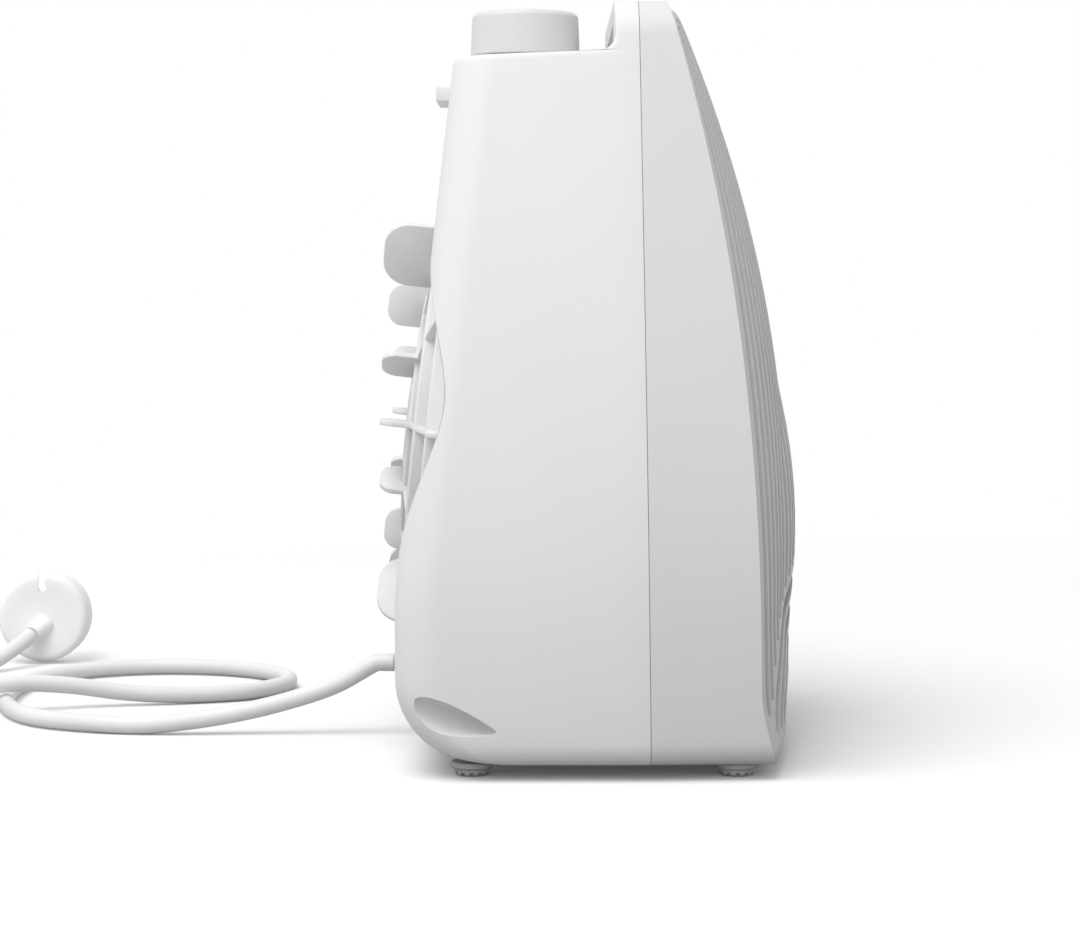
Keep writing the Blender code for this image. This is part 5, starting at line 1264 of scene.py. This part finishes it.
@dataclass
class OutletPanel:
    """Crowned front panel: leaning upright ribs over arched ones, with cross bars behind."""

    palette: Palette
    form: CasingForm
    gap: float = 0.45 * MM
    thick: float = 3.2 * MM
    rim: float = 3.4 * MM
    pitch: float = 7.2 * MM
    rib: float = 2.4 * MM
    slots: int = 25
    arch_height: float = -21.5 * MM
    arch_radius: float = 88.0 * MM
    arch_pitch: float = 10.0 * MM
    arch_width: float = 3.0 * MM
    arches: int = 3
    lip: float = 8.0 * MM
    bars: int = 2
    crown: float = 17.2 * MM
    crown_drop: float = 8.5 * MM
    crown_middle: float = 112.0 * MM
    crown_reach: float = 125.0 * MM
    chin: float = 48.0 * MM
    chin_drop: float = 2.8 * MM
    chin_reach: float = 43.0 * MM
    dome_height: float = 78.0 * MM
    dome_radius: float = 50.0 * MM
    dome_rise: float = 3.5 * MM

    def face(self, x: float, z: float) -> float:
        """The crowned face, with the outlet's dome.

        Args:
            x: place across.
            z: the height.

        Returns:
            Y of the face there.
        """
        across = min(abs(x) / self.form.half_width(z, self.form.wall), 1.0)
        crown = self.crown - self.crown_drop * ((z - self.crown_middle) / self.crown_reach) ** 2
        if z < self.chin:
            crown = self.crown - self.chin_drop * ((self.chin - z) / self.chin_reach) ** 1.5 - self.dome(0.0, z)
        return self.form.front_edge(z) - (crown - self.form.flare(z)) * (1.0 - across * across) - self.dome(x, z)

    def dome(self, x: float, z: float) -> float:
        """Rise of the outlet's middle over the crowned face."""
        distance = math.hypot(x, z - self.dome_height) / self.dome_radius
        return self.dome_rise * max(1.0 - distance * distance, 0.0)

    def skin(self, name: str, heights: list[float], inset: float, ahead: float, thick: float) -> Piece:
        """A crowned sheet between heights.

        Args:
            name: the object's name.
            heights: levels of its outlines.
            inset: distance from the casing's outside.
            ahead: how far its face lies behind the panel's.
            thick: its thickness.

        Returns:
            The object.
        """
        sections = []
        for z in heights:
            width = self.form.half_width(z, inset)
            ends = [(width, 1.4 * MM), (width - 0.2 * MM, 0.55 * MM), (width - 0.6 * MM, 0.18 * MM),
                    (width - 1.2 * MM, 0.0)]
            inner = ends[-1][0]
            row = [(-x, drop) for x, drop in ends]
            row += [(inner * (2 * i / 30 - 1), 0.0) for i in range(1, 30)] + ends[::-1]
            face = [(x, self.face(x, z) + ahead + drop, z) for x, drop in row]
            back = [(x, self.face(x, z) + ahead + thick, z) for x, _ in reversed(row)]
            sections.append(face + back)
        return loft(name, sections)

    def spread(self, z: float) -> float:
        """Half the width that the ribs share out at a height."""
        return self.form.taper(z) - self.form.wall - self.gap - self.rim

    def slot_top(self, share: float) -> float:
        """Finds where a rib's line meets the panel's rim, by halving.

        Args:
            share: the line's place across, as a share of half the width.

        Returns:
            The height.
        """
        form = self.form
        low, high = form.widest, form.top - form.wall - self.rim
        while high - low > 0.05 * MM:
            middle = (low + high) / 2
            if form.half_width(middle, form.wall + self.gap + self.rim) > share * self.spread(middle):
                low = middle
            else:
                high = middle
        return low

    def outlines(self) -> list[Outline]:
        """Lays out the slots: upright ones, then the arched ones under them.

        Returns:
            The outline of each.
        """
        form, found = self.form, []
        wide = self.spread(form.widest)
        reach = self.arch_radius + self.arch_width / 2
        for i in range(self.slots):
            middle = (i - (self.slots - 1) / 2) * self.pitch / wide
            half = (self.pitch - self.rib) / 2 / wide
            near = max(abs(middle) - half, 0.0) * wide
            low = self.arch_height + math.sqrt(max(reach * reach - near * near, 0.0))
            low = max(low, self.lip + 12 * MM)
            high = self.slot_top(abs(middle) + half)
            rise = [low + (high - low) * k / 12 for k in range(13)]
            found.append([((middle - half) * self.spread(z), z) for z in rise]
                         + [((middle + half) * self.spread(z), z) for z in reversed(rise)])
        for i in range(self.arches):
            outer = self.arch_radius - self.arch_width / 2 - i * self.arch_pitch
            inner = outer - (self.arch_pitch - self.arch_width)
            foot = math.degrees(math.asin((self.lip + 3 * MM - self.arch_height) / inner))
            centre = (0, self.arch_height)
            found.append(quarter(centre, outer, foot, 180 - foot, 40)
                         + quarter(centre, inner, 180 - foot, foot, 40))
        return found

    def edge_wall(self, low: float, high: float) -> Piece:
        """The panel's floor or roof, from its face back to the casing's edge.

        Args:
            low: height of its underside.
            high: height of its top.

        Returns:
            The wall.
        """
        inset = self.form.wall + self.gap + 0.6 * MM
        sections = []
        for z in (low, high):
            width = self.form.half_width(z, inset)
            xs = [width * (i / 15 - 1) for i in range(31)]
            back = self.form.front_edge(z) + self.thick
            sections.append([(x, self.face(x, z) + 0.8 * MM, z) for x in xs]
                            + [(width, back, z), (-width, back, z)])
        return loft("edge_wall", sections)

    def build(self) -> None:
        """Makes the panel: its skin less the slots, with the bars behind, the floor and the roof."""
        form, inset = self.form, self.form.wall + self.gap
        rise = form.levels(inset, (14, 32, 50, 70, 90), 30, (0, 17, 34, 47, 60, 71, 82))
        panel = self.skin("front_grille_moulded", rise, inset, 0.0, self.thick)
        slots, whole = bmesh.new(), bmesh.new()
        for outline in self.outlines():
            extruded(slots, [(x, -0.13, z) for x, z in outline], (0, 0.13, 0))
        combine(panel, Joining.DIFFERENCE, slots)
        whole.from_mesh(panel.data)
        crest, top = self.arch_height + self.arch_radius, form.top - inset
        for i in range(self.bars):
            z = crest + (i + 0.4) * (top - crest) / self.bars
            narrow = form.wall + form.seat_width + 2 * self.gap
            take(whole, self.skin("bar", [z - MM, z + MM], narrow, self.thick - 0.6 * MM, 3.0 * MM))
        take(whole, self.edge_wall(rise[0] + 0.1 * MM, rise[0] + 2 * MM))
        take(whole, self.edge_wall(rise[-1] - 2 * MM, rise[-1] - 0.1 * MM))
        whole.to_mesh(panel.data)
        whole.free()
        form.settle(panel, 30)
        finish_piece(panel, self.palette.panel, "front_grille")


@dataclass
class ControlKnob:
    """A turned cap with a rounded top edge, a shallow dished face and a raised pointer."""

    palette: Palette
    node: str
    body: str
    x: float
    y: float = SPINDLE_Y + SHIFT_Y
    radius: float = 18.6 * MM
    base: float = 239.82 * MM
    top: float = 254.5 * MM
    draft: float = 0.5 * MM
    edge: float = 2.2 * MM
    wall: float = 1.8 * MM
    socket: float = 5.7 * MM
    bore: float = 3.3 * MM
    pointer: float = 0.8 * MM

    def build(self) -> None:
        """Makes the knob and puts it on its body."""
        base, top, place = self.base, self.top, (self.x, self.y)
        inner, outer = self.radius - self.wall, self.radius - self.draft - self.edge
        profile = [(0, top - 4.5 * MM), (inner, top - 4.5 * MM), (inner, base), (self.radius - 0.3 * MM, base),
                   (self.radius, base + 0.3 * MM)] + quarter((outer, top - self.edge), self.edge, 0, 90, 8)
        profile += [(outer - 2.0 * MM, top), (outer - 2.6 * MM, top - 0.35 * MM), (0, top - 0.5 * MM)]
        cap = shown(self.node + "_cap", move(revolve(profile, 96), Matrix.Translation((*place, 0))), 40)
        combine(cap, Joining.UNION, post(self.socket, base, top - 3 * MM, place))
        combine(cap, Joining.DIFFERENCE, post(self.bore, base - MM, top - 3.3 * MM, place))
        low = (self.x - self.pointer, self.y - self.radius + 5.2 * MM, top - 0.9 * MM)
        high = (self.x + self.pointer, self.y - self.radius + 14 * MM, top - 0.1 * MM)
        combine(cap, Joining.UNION, box_mesh(low, high, 0.25 * MM))
        crease(cap, 40)
        finish_piece(cap, self.palette.knob, self.node, body=self.body)


@dataclass
class CasingFoot:
    """A small round foot with a castellated rim, on a pin in the casing's floor."""

    palette: Palette
    node: str
    x: float
    y: float
    radius: float = 5.9 * MM
    boss: float = 7.2 * MM
    height: float = 4.3 * MM
    pin: float = 2.3 * MM
    notches: int = 12
    notch: Spot = (2.6 * MM, 1.3 * MM, 1.6 * MM)

    def build(self) -> None:
        """Makes the foot."""
        r, boss, height = self.radius, self.boss, self.height
        profile = [(0, 0.35 * MM), (r - 1.9 * MM, 0.35 * MM), (r - 1.7 * MM, 0), (r - 0.5 * MM, 0),
                   (r, 0.5 * MM), (r, 2.1 * MM), (boss - 0.4 * MM, 2.3 * MM), (boss, 2.7 * MM),
                   (boss, 3.9 * MM), (boss - 0.4 * MM, height), (self.pin, height),
                   (self.pin, height + 2.4 * MM), (0, height + 2.4 * MM)]
        foot = shown(self.node + "_pad", revolve(profile, 72))
        cutter = bmesh.new()
        for i in range(self.notches):
            tooth = bmesh.ops.create_cube(cutter, size=1.0)["verts"]
            bmesh.ops.scale(cutter, vec=self.notch, verts=tooth)
            bmesh.ops.translate(cutter, vec=(r, 0, 0.3 * MM), verts=tooth)
            bmesh.ops.rotate(cutter, cent=(0, 0, 0), matrix=Matrix.Rotation(math.tau * i / self.notches, 3, "Z"),
                             verts=tooth)
        combine(foot, Joining.DIFFERENCE, cutter)
        foot.data.transform(Matrix.Translation((self.x, self.y, 0)))
        crease(foot)
        finish_piece(foot, self.palette.foot, self.node)


@dataclass
class StrainRelief:
    """The tapered, ringed sleeve that guards the cord where it leaves the casing."""

    palette: Palette
    height: float = 26.0 * MM
    bore: float = 3.55 * MM
    neck: float = 5.0 * MM
    flange: float = 7.4 * MM
    rings: int = 5

    def build(self) -> None:
        """Makes the sleeve from the CAD piece's own box."""
        low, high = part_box("cord_bushing")
        points = [v.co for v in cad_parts["cord_bushing"].data.vertices]
        seat = max(points, key=lambda c: c.x**2 + (c.z - self.height) ** 2).y - low.y
        length, neck, flange, body = high.y - low.y, self.neck, self.flange, high.y - low.y - seat
        profile = [(self.bore, 0), (4.0 * MM, 0), (neck, 2.2 * MM), (neck, seat - 2 * MM),
                   (flange - 0.2 * MM, seat - 2 * MM), (flange, seat - 1.8 * MM), (flange, seat - 0.2 * MM),
                   (flange - 0.2 * MM, seat), (neck, seat)]
        for i in range(self.rings):
            z, r = seat + body * (0.34 + 0.12 * i), (4.95 - 0.17 * i) * MM
            profile += [(r, z), (r - 0.08 * MM, z + 0.07 * body), (r - 0.55 * MM, z + 0.078 * body),
                        (r - 0.55 * MM, z + 0.115 * body)]
        profile += [(4.1 * MM, length - 0.4 * MM), (3.9 * MM, length), (self.bore, length), (self.bore, 0)]
        place = Matrix.Translation((0, low.y, self.height)) @ Matrix.Rotation(-math.pi / 2, 4, "X")
        sleeve = shown("strain_relief", move(revolve(profile, 48), place))
        finish_piece(sleeve, self.palette.cord, "cord_bushing", slot="cord_plastic")


@dataclass
class Mechanism:
    """The pieces inside the casing, which keep their CAD shapes and get their finishes."""

    palette: Palette

    def build(self) -> None:
        """Assigns a finish to each node that no piece replaces."""
        palette = self.palette
        groups = {"heater_frame": palette.mica, "heating_ribbon": palette.ribbon, "motor_core": palette.core,
                  "motor_coil": palette.copper}
        groups |= {name: palette.inner for name in ("air_duct", "fan_impeller", "thermostat_body",
                                                    "mode_switch_body")}
        for name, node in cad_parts.items():
            if not node.hide_render:
                material = groups.get(name, palette.steel)
                node.data.materials.clear()
                node.data.materials.append(material)
                crease(node, 30)
                log.info("finish %s on %s", material.name, name)


# -------------------------------------------------------------------- studio


@dataclass
class Studio:
    """Plain white floor, even white surroundings and two large soft lamps, up behind the rear edge."""

    palette: Palette
    floor_half: float = 7.0
    floor_level: float = -0.3 * MM
    ambient: float = 0.64
    key: tuple[Spot, float, float] = ((-0.75, 0.70, 2.3), 34.0, 1.5)
    fill: tuple[Spot, float, float] = ((-2.1, 0.8, 1.7), 15.0, 2.0)
    aim: Spot = (0, 0, 0.12)

    def build(self) -> None:
        """Makes floor, surroundings and lamps."""
        bm = bmesh.new()
        bmesh.ops.create_grid(bm, x_segments=1, y_segments=1, size=self.floor_half)
        floor = shown("studio_floor", move(bm, Matrix.Translation((0, 0, self.floor_level))))
        floor.data.materials.append(self.palette.floor)
        self.surroundings()
        self.lamp("key_lamp", *self.key)
        self.lamp("fill_lamp", *self.fill)
        bpy.context.scene.view_settings.view_transform = "Standard"
        log.info("studio")

    def lamp(self, name: str, place: Spot, power: float, size: float) -> None:
        """Adds a square soft lamp aimed at the casing.

        Args:
            name: its name.
            place: where it hangs.
            power: watts.
            size: side of the square.
        """
        data = bpy.data.lights.new(name, "AREA")
        data.energy, data.size = power, size
        lamp = bpy.data.objects.new(name, data)
        lamp.location = place
        lamp.rotation_euler = (Vector(self.aim) - Vector(place)).to_track_quat("-Z", "Y").to_euler()
        bpy.context.scene.collection.objects.link(lamp)

    def surroundings(self) -> None:
        """Even light from all round, seen as white by the camera and in reflections."""
        world = bpy.data.worlds.new("white_studio")
        bpy.context.scene.world = world
        g = Graph(world, "ShaderNodeOutputWorld")
        strength = g.spread(g.seen_ray(), self.ambient, 1, 0, 1)
        light = g.add("ShaderNodeBackground", {"Color": (1, 1, 1, 1), "Strength": strength})
        g.finish(light.outputs["Background"])


# ---------------------------------------------------------------------- main


def main() -> None:
    """Builds the camera, the cord, the heater's pieces and the studio, in that order."""
    logging.basicConfig(level=logging.INFO, format="%(name)s: %(message)s")
    palette, form = Palette(), CasingForm()
    shell = RearShell(palette, form)
    pieces = [PhotoCamera(), MainsCord(palette), StrainRelief(palette), shell, FrontShell(palette, form),
              InletGrille(palette, shell), OutletPanel(palette, form),
              ControlKnob(palette, "thermostat_knob", "thermostat_knob", -SPINDLE_X),
              ControlKnob(palette, "mode_knob", "mode_knob", SPINDLE_X)]
    pieces += [CasingFoot(palette, node, x, y) for node, x, y in (
        ("foot_rear_left", -0.078, 0.039949), ("foot_rear_right", 0.078, 0.039949),
        ("foot_front_left", -0.078, -0.048051), ("foot_front_right", 0.078, -0.048051))]
    for piece in (*pieces, Mechanism(palette), Studio(palette)):
        piece.build()


if __name__ == "__main__":
    main()
